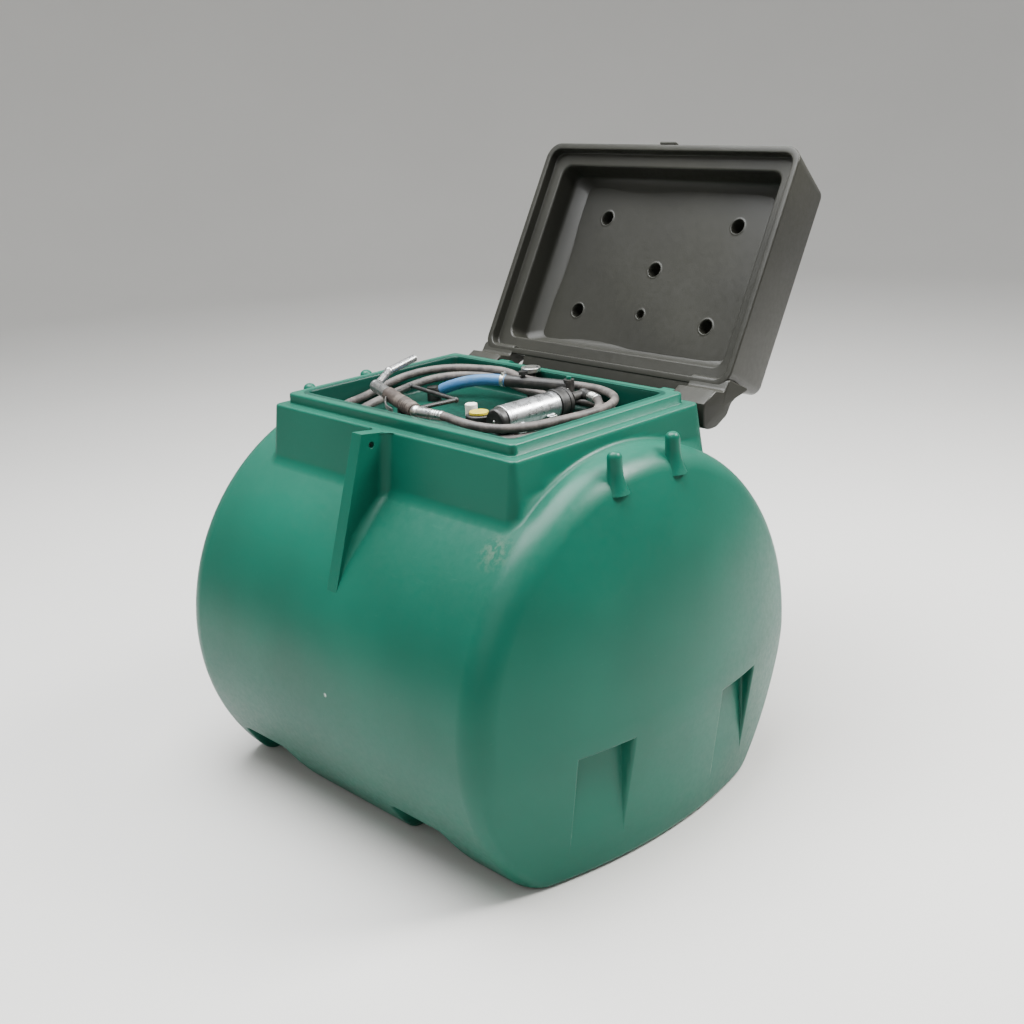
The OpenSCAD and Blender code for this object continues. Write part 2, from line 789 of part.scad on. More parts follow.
barrel();
near_end();
far_end();
fork_channels();
box_walls();
box_rim();
box_liner();
box_floor();
latch_rib();
tie_pegs();
hinge_lugs();
hinge_pins();
lid_shell();
lid_seat();
lid_tray();
lid_panel();
lid_lobes();
lid_tab();
pump_motor();
motor_cap();
pump_head();
pump_cradle();
pump_ports();
bleed_screw();
outlet_port();
valve_knob();
blue_hose();
hose_clamps();
suction_stand();
riser_pipe();
riser_cap();
meter_body();
meter_cap();
drain_knob();
delivery_hose();
nozzle_rest();
nozzle_swivel();
nozzle_body();
nozzle_head();
nozzle_spout();
nozzle_guard();
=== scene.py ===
import math

import bmesh
import bpy
import numpy as np
from mathutils import Matrix


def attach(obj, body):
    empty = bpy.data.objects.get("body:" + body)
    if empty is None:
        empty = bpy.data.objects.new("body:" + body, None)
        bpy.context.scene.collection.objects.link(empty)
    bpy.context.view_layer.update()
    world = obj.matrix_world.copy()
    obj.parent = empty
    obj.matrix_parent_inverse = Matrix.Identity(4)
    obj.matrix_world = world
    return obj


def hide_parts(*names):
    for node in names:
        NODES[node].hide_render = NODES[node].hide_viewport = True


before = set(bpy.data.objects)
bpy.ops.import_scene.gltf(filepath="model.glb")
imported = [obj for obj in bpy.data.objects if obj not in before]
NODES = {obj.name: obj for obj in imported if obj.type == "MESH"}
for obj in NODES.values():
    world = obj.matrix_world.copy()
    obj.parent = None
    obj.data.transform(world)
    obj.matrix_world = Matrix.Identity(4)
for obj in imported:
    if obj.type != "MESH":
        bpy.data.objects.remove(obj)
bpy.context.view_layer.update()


# ---------------------------------------------------------------- camera
def camera():
    """The photograph's view: columns are right, up and back, rolled by three degrees."""
    back = np.array([0.69294, -0.64792, 0.31630])
    right = np.array([0.68299, 0.73043, 0.0])
    up = np.array([-0.23103, 0.21603, 0.94867])
    c, s = 0.99866, 0.05173
    turned = np.stack([c * right - s * up, c * up + s * right, back], axis=1)
    data = bpy.data.cameras.new("camera")
    data.sensor_width = 36.0
    data.lens = 48.24
    data.shift_y = -0.0019
    data.clip_start = 0.05
    eye = bpy.data.objects.new("camera", data)
    bpy.context.scene.collection.objects.link(eye)
    place = Matrix.Identity(4)
    for i in range(3):
        for j in range(3):
            place[i][j] = float(turned[i, j])
    place[0][3], place[1][3], place[2][3] = 2.7287, -2.4287, 1.9800
    eye.matrix_world = place
    bpy.context.scene.camera = eye


camera()


# ---------------------------------------------------------------- mesh helpers
def new_piece(name, verts, faces, material, body, uv=None, crease=35.0, normals=None):
    """One mesh object from whole arrays of corners and faces; it shades smooth but for edges past the crease."""
    mesh = bpy.data.meshes.new(name)
    faces = faces if isinstance(faces, list) else np.asarray(faces).tolist()
    mesh.from_pydata(np.asarray(verts, float).tolist(), [], faces)
    mesh.polygons.foreach_set("use_smooth", np.full(len(mesh.polygons), True))
    if uv is not None:
        layer = mesh.uv_layers.new(name="run")
        loops = np.zeros(len(mesh.loops), int)
        mesh.loops.foreach_get("vertex_index", loops)
        layer.data.foreach_set("uv", np.asarray(uv, float)[loops].ravel())
    if normals is not None:
        mesh.normals_split_custom_set_from_vertices(np.asarray(normals, float).tolist())
    elif crease:
        mesh.set_sharp_from_angle(angle=math.radians(crease))
    mesh.update()
    obj = bpy.data.objects.new(name, mesh)
    bpy.context.scene.collection.objects.link(obj)
    mesh.materials.append(material)
    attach(obj, body)
    return obj


def grid_faces(rows, cols, wrap):
    """Quads between neighbours on a grid; the columns close on themselves where wrap is true."""
    i, j = np.meshgrid(np.arange(rows - 1), np.arange(cols if wrap else cols - 1), indexing="ij")
    k = (j + 1) % cols
    return np.stack([i * cols + j, i * cols + k, (i + 1) * cols + k, (i + 1) * cols + j], axis=-1).reshape(-1, 4)


def capped(rings):
    """Rings of corners joined into a closed skin, with a pole in the middle of the first and last ring."""
    rows, cols = rings.shape[:2]
    verts = np.concatenate([rings.reshape(-1, 3), rings[:1].mean(axis=1), rings[-1:].mean(axis=1)])
    j = np.arange(cols)
    k = (j + 1) % cols
    first, last, base = rows * cols, rows * cols + 1, (rows - 1) * cols
    ends = np.concatenate([np.stack([np.full(cols, first), k, j], -1),
                           np.stack([np.full(cols, last), base + j, base + k], -1)])
    return verts, grid_faces(rows, cols, True).tolist() + ends.tolist()


def rounded(points, radii, steps=5):
    """A polyline whose inner corners are swapped for smooth arcs that start radius away from each corner."""
    p = np.asarray(points, float)
    out = [p[:1]]
    t = np.linspace(0, 1, steps + 1)[:, None]
    for before, corner, after, r in zip(p[:-2], p[1:-1], p[2:], radii):
        if r <= 0:
            out.append(corner[None])
            continue
        a = before - corner
        b = after - corner
        a = corner + a * min(r / np.linalg.norm(a[:4]), 0.49)
        b = corner + b * min(r / np.linalg.norm(b[:4]), 0.49)
        out.append((1 - t) ** 2 * a + 2 * t * (1 - t) * corner + t ** 2 * b)
    out.append(p[-1:])
    return np.concatenate(out)


def turned(name, profile, foot, aim, material, body="tank", around=48, crease=35.0):
    """A profile of (distance along, radius) carried round an axis: foot + along * aim + radius * (cos, sin)."""
    profile = np.asarray(profile, float)
    aim = np.asarray(aim, float)
    aim = aim / np.linalg.norm(aim)
    side = np.cross(aim, [0.0, 0.0, 1.0] if abs(aim[2]) < 0.9 else [0.0, 1.0, 0.0])
    side /= np.linalg.norm(side)
    over = np.cross(aim, side)
    a = np.linspace(0, 2 * np.pi, around, endpoint=False)
    spoke = np.cos(a)[:, None] * side + np.sin(a)[:, None] * over
    rings = np.asarray(foot, float) + profile[:, 0, None, None] * aim + profile[:, 1, None, None] * spoke[None]
    verts, faces = capped(rings)
    uv = np.stack(np.broadcast_arrays(a[None] / (2 * np.pi), profile[:, :1]), -1).reshape(-1, 2)
    uv = np.concatenate([uv, [[0, profile[0, 0]], [0, profile[-1, 0]]]])
    return new_piece(name, verts, faces, material, body, uv, crease)


def smooth_path(points, count):
    """A curve through the points: a natural cubic over chord length, solved for all at once."""
    p = np.asarray(points, float)
    h = np.linalg.norm(np.diff(p, axis=0), axis=1)
    t = np.concatenate([[0], np.cumsum(h)])
    n = len(p)
    a = np.zeros((n, n))
    b = np.zeros((n, 3))
    a[0, 0] = a[-1, -1] = 1
    k = np.arange(1, n - 1)
    a[k, k - 1], a[k, k], a[k, k + 1] = h[:-1], 2 * (h[:-1] + h[1:]), h[1:]
    slope = np.diff(p, axis=0) / h[:, None]
    b[1:-1] = 6 * np.diff(slope, axis=0)
    m = np.linalg.solve(a, b)
    s = np.linspace(0, t[-1], count)
    i = np.clip(np.searchsorted(t, s, side="right") - 1, 0, n - 2)
    u = ((s - t[i]) / h[i])[:, None]
    hh = h[i][:, None]
    v = 1 - u
    return (v * p[i] + u * p[i + 1]
            + hh * hh / 6 * ((v ** 3 - v) * m[i] + (u ** 3 - u) * m[i + 1]))


def arc_length(path):
    """Distance run along a path at each of its points."""
    return np.concatenate([[0], np.cumsum(np.linalg.norm(np.diff(path, axis=0), axis=1))])


def tube(name, path, radius, material, body="tank", around=20, lean=(0, 0, 1), crease=35.0):
    """A round section carried along a path: centre + radius * (cos side + sin over), ends closed by poles."""
    path = np.asarray(path, float)
    run = np.gradient(path, axis=0)
    run /= np.linalg.norm(run, axis=1)[:, None]
    side = np.cross(run, np.asarray(lean, float))
    side /= np.linalg.norm(side, axis=1)[:, None]
    over = np.cross(side, run)
    a = np.linspace(0, 2 * np.pi, around, endpoint=False)
    rad = np.broadcast_to(np.asarray(radius, float), (len(path),))
    spoke = np.cos(a)[None, :, None] * side[:, None] + np.sin(a)[None, :, None] * over[:, None]
    verts, faces = capped((path[:, None] + rad[:, None, None] * spoke)[:, ::-1])
    far = arc_length(path)
    uv = np.concatenate([np.stack(np.broadcast_arrays(a[None] / (2 * np.pi), far[:, None]), -1).reshape(-1, 2),
                         [[0, 0], [0, far[-1]]]])
    return new_piece(name, verts, faces, material, body, uv, crease)


def corner_ring(rows, arc=9):
    """For rows of (half x, half y, corner radius, z): a rounded rectangle's outline at each height."""
    rows = np.asarray(rows, float)
    a = np.linspace(0, np.pi / 2, arc)
    turn = np.concatenate([a + q * np.pi / 2 for q in range(4)])
    sx = np.repeat([1, -1, -1, 1], arc)
    sy = np.repeat([1, 1, -1, -1], arc)
    hx, hy, r, z = (rows[:, i, None] for i in range(4))
    return np.stack([sx * (hx - r) + r * np.cos(turn), sy * (hy - r) + r * np.sin(turn),
                     np.broadcast_to(z, (len(rows), 4 * arc))], axis=-1)


def eased(node, width, material, body="tank", segments=2, angle=32.0):
    """A merged copy of a CAD node with its hard edges rounded to width; it stands for the node."""
    mesh = NODES[node].data.copy()
    work = bmesh.new()
    work.from_mesh(mesh)
    bmesh.ops.remove_doubles(work, verts=work.verts, dist=2e-5)
    bmesh.ops.dissolve_limit(work, angle_limit=math.radians(0.6), verts=work.verts, edges=work.edges)
    bmesh.ops.recalc_face_normals(work, faces=work.faces)
    work.to_mesh(mesh)
    work.free()
    mesh.name = node + "_eased"
    if mesh.has_custom_normals:
        mesh.attributes.remove(mesh.attributes["custom_normal"])
    mesh.polygons.foreach_set("use_smooth", np.full(len(mesh.polygons), True))
    mesh.set_sharp_from_angle(angle=math.radians(angle))
    obj = bpy.data.objects.new(node + "_eased", mesh)
    bpy.context.scene.collection.objects.link(obj)
    mesh.materials.clear()
    mesh.materials.append(material)
    if width > 0:
        bevel = obj.modifiers.new("rounding", "BEVEL")
        bevel.width = width
        bevel.segments = segments
        bevel.limit_method = "ANGLE"
        bevel.angle_limit = math.radians(angle)
        bevel.harden_normals = True
        bevel.use_clamp_overlap = True
    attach(obj, body)
    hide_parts(node)
    return obj


# ---------------------------------------------------------------- materials
def colour(code):
    """Turns an sRGB hex code into linear light."""
    c = np.array([int(code[i:i + 2], 16) for i in (0, 2, 4)]) / 255
    c = np.where(c <= 0.04045, c / 12.92, ((c + 0.055) / 1.055) ** 2.4)
    return (float(c[0]), float(c[1]), float(c[2]), 1.0)


def put(tree, kind, given=(), fed=(), **settings):
    """Adds one shader node: its own settings, its sockets' constants, and its sockets' links."""
    n = tree.nodes.new(kind)
    for key, value in settings.items():
        setattr(n, key, value)
    for key, value in dict(given).items():
        n.inputs[key].default_value = value
    for key, source in dict(fed).items():
        tree.links.new(source, n.inputs[key])
    return n


def surface(name, code, rough, metallic=0.0, ior=1.5):
    """A material with its plain constants set on the shader's own sockets."""
    mat = bpy.data.materials.new(name)
    mat.use_nodes = True
    shader = mat.node_tree.nodes["Principled BSDF"]
    shader.inputs["Base Color"].default_value = colour(code)
    shader.inputs["Roughness"].default_value = rough
    shader.inputs["Metallic"].default_value = metallic
    if not metallic:
        shader.inputs["IOR"].default_value = ior
    return mat, mat.node_tree, shader


def ramp(tree, fed, low, high, to_low=0.0, to_high=1.0):
    """A map from one range to another that stops at both ends."""
    return put(tree, "ShaderNodeMapRange", {"From Min": low, "From Max": high, "To Min": to_low, "To Max": to_high},
               {"Value": fed}, clamp=True).outputs["Result"]


def blended(tree, factor, first, second):
    """Two colours mixed by a factor; either may be a hex code or a socket."""
    given = {key: colour(value) for key, value in (("A", first), ("B", second)) if isinstance(value, str)}
    n = put(tree, "ShaderNodeMix", {}, {}, data_type="RGBA")
    for at, key in ((6, "A"), (7, "B")):
        if key in given:
            n.inputs[at].default_value = given[key]
        else:
            tree.links.new(first if key == "A" else second, n.inputs[at])
    tree.links.new(factor, n.inputs[0])
    return n.outputs[2]


def rotomoulded(name, light, dark, dust, seed, scuffs_and_painted_shade=()):
    """Rotomoulded polyethylene: no cold steel tool touched it, so it keeps a soft orange peel 5 mm across, drawn
    coarser than life, and slow swells 150 mm across that bend the highlights. Dust greys what looks up."""
    mat, tree, shader = surface(name, light, 0.4, 0.0, 1.51)
    shader.inputs["Specular IOR Level"].default_value = 0.22
    place = put(tree, "ShaderNodeTexCoord").outputs["Object"]
    shifted = put(tree, "ShaderNodeMapping", {"Location": (seed, seed * 0.7, -seed)}, {"Vector": place}).outputs["Vector"]
    cloud = put(tree, "ShaderNodeTexNoise", {"Scale": 2.2, "Detail": 2.0, "Roughness": 0.45}, {"Vector": shifted})
    swell = put(tree, "ShaderNodeTexNoise", {"Scale": 6.5, "Detail": 0.5}, {"Vector": place})
    peel = put(tree, "ShaderNodeTexNoise", {"Scale": 200.0, "Detail": 1.5}, {"Vector": place})
    speck = put(tree, "ShaderNodeTexNoise", {"Scale": 60.0, "Detail": 4.0, "Roughness": 0.7}, {"Vector": shifted})
    long_way = put(tree, "ShaderNodeMapping", {"Scale": (9.0, 26.0, 60.0), "Rotation": (0.3, 0.5, 0.4)},
                   {"Vector": place}).outputs["Vector"]
    scratch = put(tree, "ShaderNodeTexNoise", {"Scale": 1.6, "Detail": 5.0, "Roughness": 0.75}, {"Vector": long_way})
    base = blended(tree, ramp(tree, cloud.outputs["Fac"], 0.32, 0.68), dark, light)
    normal = put(tree, "ShaderNodeNewGeometry").outputs["Normal"]
    upward = put(tree, "ShaderNodeSeparateXYZ", {}, {"Vector": normal}).outputs["Z"]
    settled = put(tree, "ShaderNodeMath", {}, {0: ramp(tree, upward, 0.35, 1.0, 0.0, 0.16),
                                               1: ramp(tree, speck.outputs["Fac"], 0.3, 0.7, 0.45, 1.0)},
                  operation="MULTIPLY").outputs["Value"]
    base = blended(tree, settled, base, dust)
    scraped = put(tree, "ShaderNodeMath", {1: 0.10}, {0: ramp(tree, scratch.outputs["Fac"], 0.63, 0.74)},
                  operation="MULTIPLY").outputs["Value"]
    base = blended(tree, scraped, base, dust)
    # Each listed patch mixes its colour in round a point: outside, a dust patch or a pale nick; inside the box, painted
    # shade over the floor.
    for spot, reach, strength, tint in scuffs_and_painted_shade:
        far = put(tree, "ShaderNodeVectorMath", {1: spot}, {0: place}, operation="DISTANCE").outputs["Value"]
        near_it = ramp(tree, far, reach * 0.25, reach, strength, 0.0)
        patch = put(tree, "ShaderNodeMath", {}, {0: near_it, 1: ramp(tree, speck.outputs["Fac"], 0.42, 0.6)},
                    operation="MULTIPLY").outputs["Value"]
        base = blended(tree, patch, base, tint)
    tree.links.new(base, shader.inputs["Base Color"])
    tree.links.new(ramp(tree, speck.outputs["Fac"], 0.3, 0.7, 0.30, 0.42), shader.inputs["Roughness"])
    slow = put(tree, "ShaderNodeBump", {"Strength": 1.0, "Distance": 0.0016}, {"Height": swell.outputs["Fac"]})
    fine = put(tree, "ShaderNodeBump", {"Strength": 0.6, "Distance": 0.00016},
               {"Height": peel.outputs["Fac"], "Normal": slow.outputs["Normal"]})
    tree.links.new(fine.outputs["Normal"], shader.inputs["Normal"])
    return mat


def zinc_plated(name, code, tint):
    """Zinc plated steel: bright, a little cloudy, with a faint yellow passivate and handling marks."""
    mat, tree, shader = surface(name, code, 0.3, 1.0)
    place = put(tree, "ShaderNodeTexCoord").outputs["Object"]
    cloud = put(tree, "ShaderNodeTexNoise", {"Scale": 70.0, "Detail": 4.0}, {"Vector": place})
    tree.links.new(blended(tree, ramp(tree, cloud.outputs["Fac"], 0.4, 0.7), code, tint), shader.inputs["Base Color"])
    tree.links.new(ramp(tree, cloud.outputs["Fac"], 0.3, 0.7, 0.22, 0.46), shader.inputs["Roughness"])
    return mat


def turned_aluminium(name, code, dirt):
    """Turned aluminium: rings left by the lathe 1 mm apart along the axis, and grey fingerprints."""
    mat, tree, shader = surface(name, code, 0.3, 1.0)
    along = put(tree, "ShaderNodeUVMap", uv_map="run").outputs["UV"]
    rings = put(tree, "ShaderNodeMapping", {"Scale": (0.0, 900.0, 0.0)}, {"Vector": along}).outputs["Vector"]
    cut_marks = put(tree, "ShaderNodeTexNoise", {"Scale": 1.0, "Detail": 2.0}, {"Vector": rings})
    place = put(tree, "ShaderNodeTexCoord").outputs["Object"]
    smudge = put(tree, "ShaderNodeTexNoise", {"Scale": 45.0, "Detail": 4.0, "Roughness": 0.6}, {"Vector": place})
    tree.links.new(blended(tree, ramp(tree, smudge.outputs["Fac"], 0.52, 0.75), code, dirt), shader.inputs["Base Color"])
    tree.links.new(ramp(tree, smudge.outputs["Fac"], 0.3, 0.7, 0.2, 0.42), shader.inputs["Roughness"])
    tree.links.new(put(tree, "ShaderNodeBump", {"Strength": 0.35, "Distance": 0.00012},
                       {"Height": cut_marks.outputs["Fac"]}).outputs["Normal"], shader.inputs["Normal"])
    return mat


def moulded_plastic(name, code, worn, rough, grain, depth):
    """Injection moulded plastic or a painted casting: an even grain, rubbed paler in patches by hands and dust."""
    mat, tree, shader = surface(name, code, rough, 0.0, 1.49)
    place = put(tree, "ShaderNodeTexCoord").outputs["Object"]
    skin = put(tree, "ShaderNodeTexNoise", {"Scale": 1.0 / grain, "Detail": 2.0}, {"Vector": place})
    patch = put(tree, "ShaderNodeTexNoise", {"Scale": 28.0, "Detail": 5.0, "Roughness": 0.65}, {"Vector": place})
    tree.links.new(blended(tree, ramp(tree, patch.outputs["Fac"], 0.5, 0.78), code, worn), shader.inputs["Base Color"])
    tree.links.new(ramp(tree, patch.outputs["Fac"], 0.3, 0.7, rough - 0.08, rough + 0.12), shader.inputs["Roughness"])
    tree.links.new(put(tree, "ShaderNodeBump", {"Strength": 0.5, "Distance": depth},
                       {"Height": skin.outputs["Fac"]}).outputs["Normal"], shader.inputs["Normal"])
    return mat


def rubber_hose(name, code, dirt, rough, wrap, depth):
    """Extruded rubber hose: the cloth it was cured in leaves a slanting wrap mark, and dirt lies along it."""
    mat, tree, shader = surface(name, code, rough, 0.0, 1.52)
    along = put(tree, "ShaderNodeUVMap", uv_map="run").outputs["UV"]
    slant = put(tree, "ShaderNodeMapping", {"Scale": (1.0, 1.0 / wrap, 1.0)}, {"Vector": along}).outputs["Vector"]
    parts = put(tree, "ShaderNodeSeparateXYZ", {}, {"Vector": slant})
    sum_of = put(tree, "ShaderNodeMath", {}, {0: parts.outputs["X"], 1: parts.outputs["Y"]}, operation="ADD")
    turn = put(tree, "ShaderNodeMath", {1: 2 * math.pi}, {0: sum_of.outputs["Value"]}, operation="MULTIPLY")
    wave = put(tree, "ShaderNodeMath", {}, {0: turn.outputs["Value"]}, operation="SINE").outputs["Value"]
    place = put(tree, "ShaderNodeTexCoord").outputs["Object"]
    smear = put(tree, "ShaderNodeTexNoise", {"Scale": 22.0, "Detail": 5.0, "Roughness": 0.65}, {"Vector": place})
    tree.links.new(blended(tree, ramp(tree, smear.outputs["Fac"], 0.42, 0.72), code, dirt), shader.inputs["Base Color"])
    tree.links.new(ramp(tree, smear.outputs["Fac"], 0.3, 0.7, rough - 0.1, rough + 0.12), shader.inputs["Roughness"])
    tree.links.new(put(tree, "ShaderNodeBump", {"Strength": 0.5, "Distance": depth}, {"Height": wave}).outputs["Normal"],
                   shader.inputs["Normal"])
    return mat


WHITE_NICK = (0.0421, -0.6080, 0.4365)
green = rotomoulded("rotomoulded_polyethylene_green", "045544", "03493A", "4F7D6D", 0.0,
                    [((0.508, -0.412, 0.878), 0.06, 0.15, "8E8672"), (WHITE_NICK, 0.007, 1.0, "C9D4CC")])
# Inside the box: a darker copy of the green, with two near-black patches over the floor, is painted shade for the box's
# depth.
inside = rotomoulded("rotomoulded_polyethylene_green_painted_shade", "053F33", "032C24", "23463C", 0.0,
                     [((0.05, 0.0, 1.02), 0.34, 0.75, "0B1714"), ((0.30, -0.05, 1.02), 0.22, 0.7, "0A1210")])
black = rotomoulded("rotomoulded_polyethylene_black", "282823", "20201D", "4E4D45", 3.1)
zinc = zinc_plated("zinc_plated_steel", "C2C5C6", "A9A594")
satin = zinc_plated("die_cast_aluminium_satin", "B9BBBC", "8E8C86")
alloy = turned_aluminium("turned_aluminium", "D2D4D5", "96989A")
plastic = moulded_plastic("injection_moulded_black_nylon", "131312", "3A3935", 0.42, 0.0012, 0.00006)
casting = moulded_plastic("painted_cast_iron_black", "171716", "3B3833", 0.5, 0.0030, 0.00018)
blue = rubber_hose("extruded_blue_pvc_hose", "38658F", "56738C", 0.4, 0.009, 0.00008)
grey = rubber_hose("cloth_cured_rubber_hose_grey", "3D3A38", "6A635E", 0.55, 0.012, 0.00022)
yellow = moulded_plastic("moulded_yellow_acetal", "B9A92C", "8C8140", 0.4, 0.0015, 0.00005)
white = moulded_plastic("moulded_white_acetal", "D9D6CB", "ABA79A", 0.45, 0.0015, 0.00005)
brown = moulded_plastic("dipped_vinyl_grip_brown", "38302B", "6E645B", 0.55, 0.0018, 0.00012)


# ---------------------------------------------------------------- cord
LEDGE = np.array([0.027, 0.0, 1.080])
ROUTE = [[235, 207, 4], [261, 191, 1], [283, 166, -5], [298, 130, -13], [306, 84, -23], [308, 30, -33],
         [306, -30, -40], [298, -90, -42], [281, -146, -42], [245, -196, -42], [188, -232, -42],
         [123, -246, -42], [43, -250, -42], [-47, -250, -42], [-137, -250, -42], [-217, -244, -42],
         [-279, -222, -42], [-323, -184, -40], [-345, -130, -35], [-352, -70, -27], [-349, -10, -16],
         [-337, 50, -4], [-317, 106, 5], [-283, 154, 9], [-235, 186, 10], [-177, 203, 10], [-117, 208, 4],
         [-57, 206, -7], [13, 210, -14], [73, 222, -20], [123, 242, -26], [178, 258, -30], [235, 252, -30],
         [285, 222, -28], [321, 172, -25], [335, 110, -22], [335, 50, -20], [328, -10, -18], [317, -70, -18],
         [301, -130, -18], [270, -186, -18], [219, -226, -18], [153, -245, -18], [73, -251, -18],
         [-17, -251, -18], [-107, -251, -18], [-197, -251, -18], [-277, -243, -19], [-339, -215, -21],
         [-377, -168, -22], [-394, -105, -20], [-399, -40, -10], [-393, 25, 6], [-373, 90, 18],
         [-337, 146, 24], [-289, 186, 26], [-232, 210, 26], [-172, 227, 26], [-117, 228, 24], [-54, 218, 19],
         [18, 226, 16], [83, 246, 15], [143, 259, 14], [198, 261, 13], [253, 247, 11], [299, 214, 9],
         [325, 164, 7], [335, 105, 6], [333, 45, 6], [324, -15, 6], [313, -75, 6], [296, -132, 7],
         [265, -180, 10], [221, -210, 15], [168, -220, 20], [104, -219.7, 25]]
HOSE_POINTS = np.concatenate([[[0.2330, 0.2160, 1.0840]], np.array(ROUTE) / 1000 + LEDGE, [[0.0850, -0.2240, 1.1050]]])
hose_path = smooth_path(HOSE_POINTS, 620)
hose = tube("delivery_hose_skin", hose_path, 0.0115, grey, "tank", around=20, crease=0)
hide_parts("delivery_hose")


# ---------------------------------------------------------------- tank form
# The tank as one signed distance, in metres: negative inside the moulding's outer face.
AXIS, RADIUS, TANGENT = 0.433, 0.608, 0.546
DISH_R, KNUCKLE = 1.548, 0.090
KNUCKLE_C = RADIUS - KNUCKLE
DISH_X = TANGENT - math.sqrt((DISH_R - KNUCKLE) ** 2 - KNUCKLE_C ** 2)
CREASE, TOE_IN = 0.385, 0.068
BOX_X, BOX_HX, BOX_HY, LEDGE_Z, DRAFT, BOX_R = 0.027, 0.480, 0.343, 1.080, 0.12, 0.016
RIM_HX, RIM_HY, RIM_Z = 0.452, 0.315, 1.110
CAV_HX, CAV_HY, CAV_R = 0.414, 0.277, 0.024
POCKETS = (0.267, -0.409)


def joined(a, b, r):
    """Union of two distances with a fillet of radius r."""
    u = np.maximum(r - a, 0)
    v = np.maximum(r - b, 0)
    return np.maximum(r, np.minimum(a, b)) - np.sqrt(u * u + v * v)


def cut(a, b, r):
    """What a and b share, with the edge rounded to radius r."""
    u = np.maximum(r + a, 0)
    v = np.maximum(r + b, 0)
    return np.minimum(-r, np.maximum(a, b)) + np.sqrt(u * u + v * v)


def round_rect(x, y, hx, hy, r):
    """Distance to a rectangle of half sizes hx and hy with corners of radius r."""
    qx = np.abs(x) - hx + r
    qy = np.abs(y) - hy + r
    return np.minimum(np.maximum(qx, qy), 0) + np.hypot(np.maximum(qx, 0), np.maximum(qy, 0)) - r


def tank_form(p):
    """Distance to the moulding: a turned body with dished ends, toes leaning in below the crease,
    a flat base, two recesses an end, two fork pockets, and the box with its ledge and upstand."""
    x, y, z = p[..., 0], p[..., 1], p[..., 2]
    ax, ay = np.abs(x), np.abs(y)
    rho = np.hypot(y, z - AXIS)
    turn = np.arctan2(ax - TANGENT, np.maximum(rho - KNUCKLE_C, 1e-9))
    knuckle = np.hypot(ax - TANGENT, rho - KNUCKLE_C) - KNUCKLE
    dish = np.hypot(ax - DISH_X, rho) - DISH_R
    limit = math.pi / 2 - math.atan2(KNUCKLE_C, TANGENT - DISH_X)
    body = np.where(ax <= TANGENT, rho - RADIUS, np.where((rho > KNUCKLE_C) & (turn < limit), knuckle, dish))
    flat = np.hypot(ax - DISH_X, y)
    toe = (flat - DISH_R + TOE_IN * (1 - z / CREASE)) * 0.985
    body = cut(body, toe, 0.006)
    back = DISH_R - 0.045 - flat
    lean = 0.16 * np.clip(flat - DISH_R + 0.045, 0, 0.05)
    recess = np.maximum(np.maximum(np.abs(ay - 0.259) - 0.078 - lean, z - 0.363 - lean), back)
    body = cut(body, -recess, 0.007)
    body = cut(body, -z, 0.018)
    for middle in POCKETS:
        pocket = cut((np.abs(x - middle) - 0.125 + 0.23 * z) * 0.975, z - 0.122, 0.012)
        body = cut(body, -pocket, 0.010)
    grow = DRAFT * (LEDGE_Z - z)
    wall = round_rect(x - BOX_X, y, BOX_HX + grow, BOX_HY + grow, np.maximum(BOX_R + grow, 0.002)) * 0.993
    wall = cut(cut(wall, z - LEDGE_Z, 0.006), AXIS + 0.15 - z, 0.006)
    body = joined(body, wall, 0.014)
    upstand = cut(round_rect(x - BOX_X, y, RIM_HX, RIM_HY, 0.016), AXIS + 0.15 - z, 0.006)
    return joined(body, cut(upstand, z - RIM_Z, 0.007), 0.005)


def slope_of(form, p, step=2e-4):
    """The form's own normal at each point, from differences to both sides."""
    n = np.zeros_like(p)
    for k in range(3):
        e = np.zeros(3)
        e[k] = step
        n[..., k] = form(p + e) - form(p - e)
    return n / np.maximum(np.linalg.norm(n, axis=-1, keepdims=True), 1e-12)


def settle(form, start, aim, far, steps=70):
    """Walks in along each ray from far outside until the form's distance is nothing."""
    t = np.full(start.shape[:-1], float(far))
    for _ in range(steps):
        t = t - 0.85 * form(start + aim * t[..., None])
    return start + aim * t[..., None]


def crowded(lo, hi, step, keys):
    """Places from lo to hi a step apart, drawn closer round each key (place, reach, spacing)."""
    s = np.linspace(lo, hi, 6000)
    gap = np.full_like(s, step)
    for place, reach, fine in keys:
        gap = np.minimum(gap, fine + (step - fine) * np.clip((np.abs(s - place) - reach) / (3 * reach), 0, 1))
    total = np.concatenate([[0], np.cumsum((s[1] - s[0]) / gap[1:])])
    return np.interp(np.linspace(0, total[-1], int(round(total[-1])) + 1), total, s)


def around_lines():
    """Angles round the barrel's axis, close at the box's edges, the feet and the pocket mouths."""
    deg = []
    for side in (1, -1):
        for a, reach, fine in ((54.0, 1.6, 0.3), (62.1, 0.8, 0.16), (64.5, 1.1, 0.16), (67.4, 0.7, 0.18),
                               (-45.4, 2.0, 0.42), (-30.8, 1.4, 0.5), (-40.0, 2.0, 0.8),
                               (-48.4, 1.2, 0.35), (-65.1, 1.3, 0.35)):
            a = a if side > 0 else 180 - a
            deg.append(((a + 90) % 360 - 90, reach, fine))
    return np.radians(crowded(-90.0, 270.0, 2.2, deg)[:-1])


def along_lines():
    """Places along the barrel, close at the box's two ends and the pockets' sides."""
    keys = []
    for s in (1, -1):
        keys += [(BOX_X + s * 0.522, 0.012, 0.0022), (BOX_X + s * 0.480, 0.006, 0.0016),
                 (BOX_X + s * RIM_HX, 0.007, 0.0014), (BOX_X + s * 0.416, 0.005, 0.002)]
    for middle in POCKETS:
        keys += [(middle + s * 0.111, 0.018, 0.0042) for s in (1, -1)]
    return crowded(-TANGENT, TANGENT, 0.018, [k for k in keys if abs(k[0]) < TANGENT + 0.02])


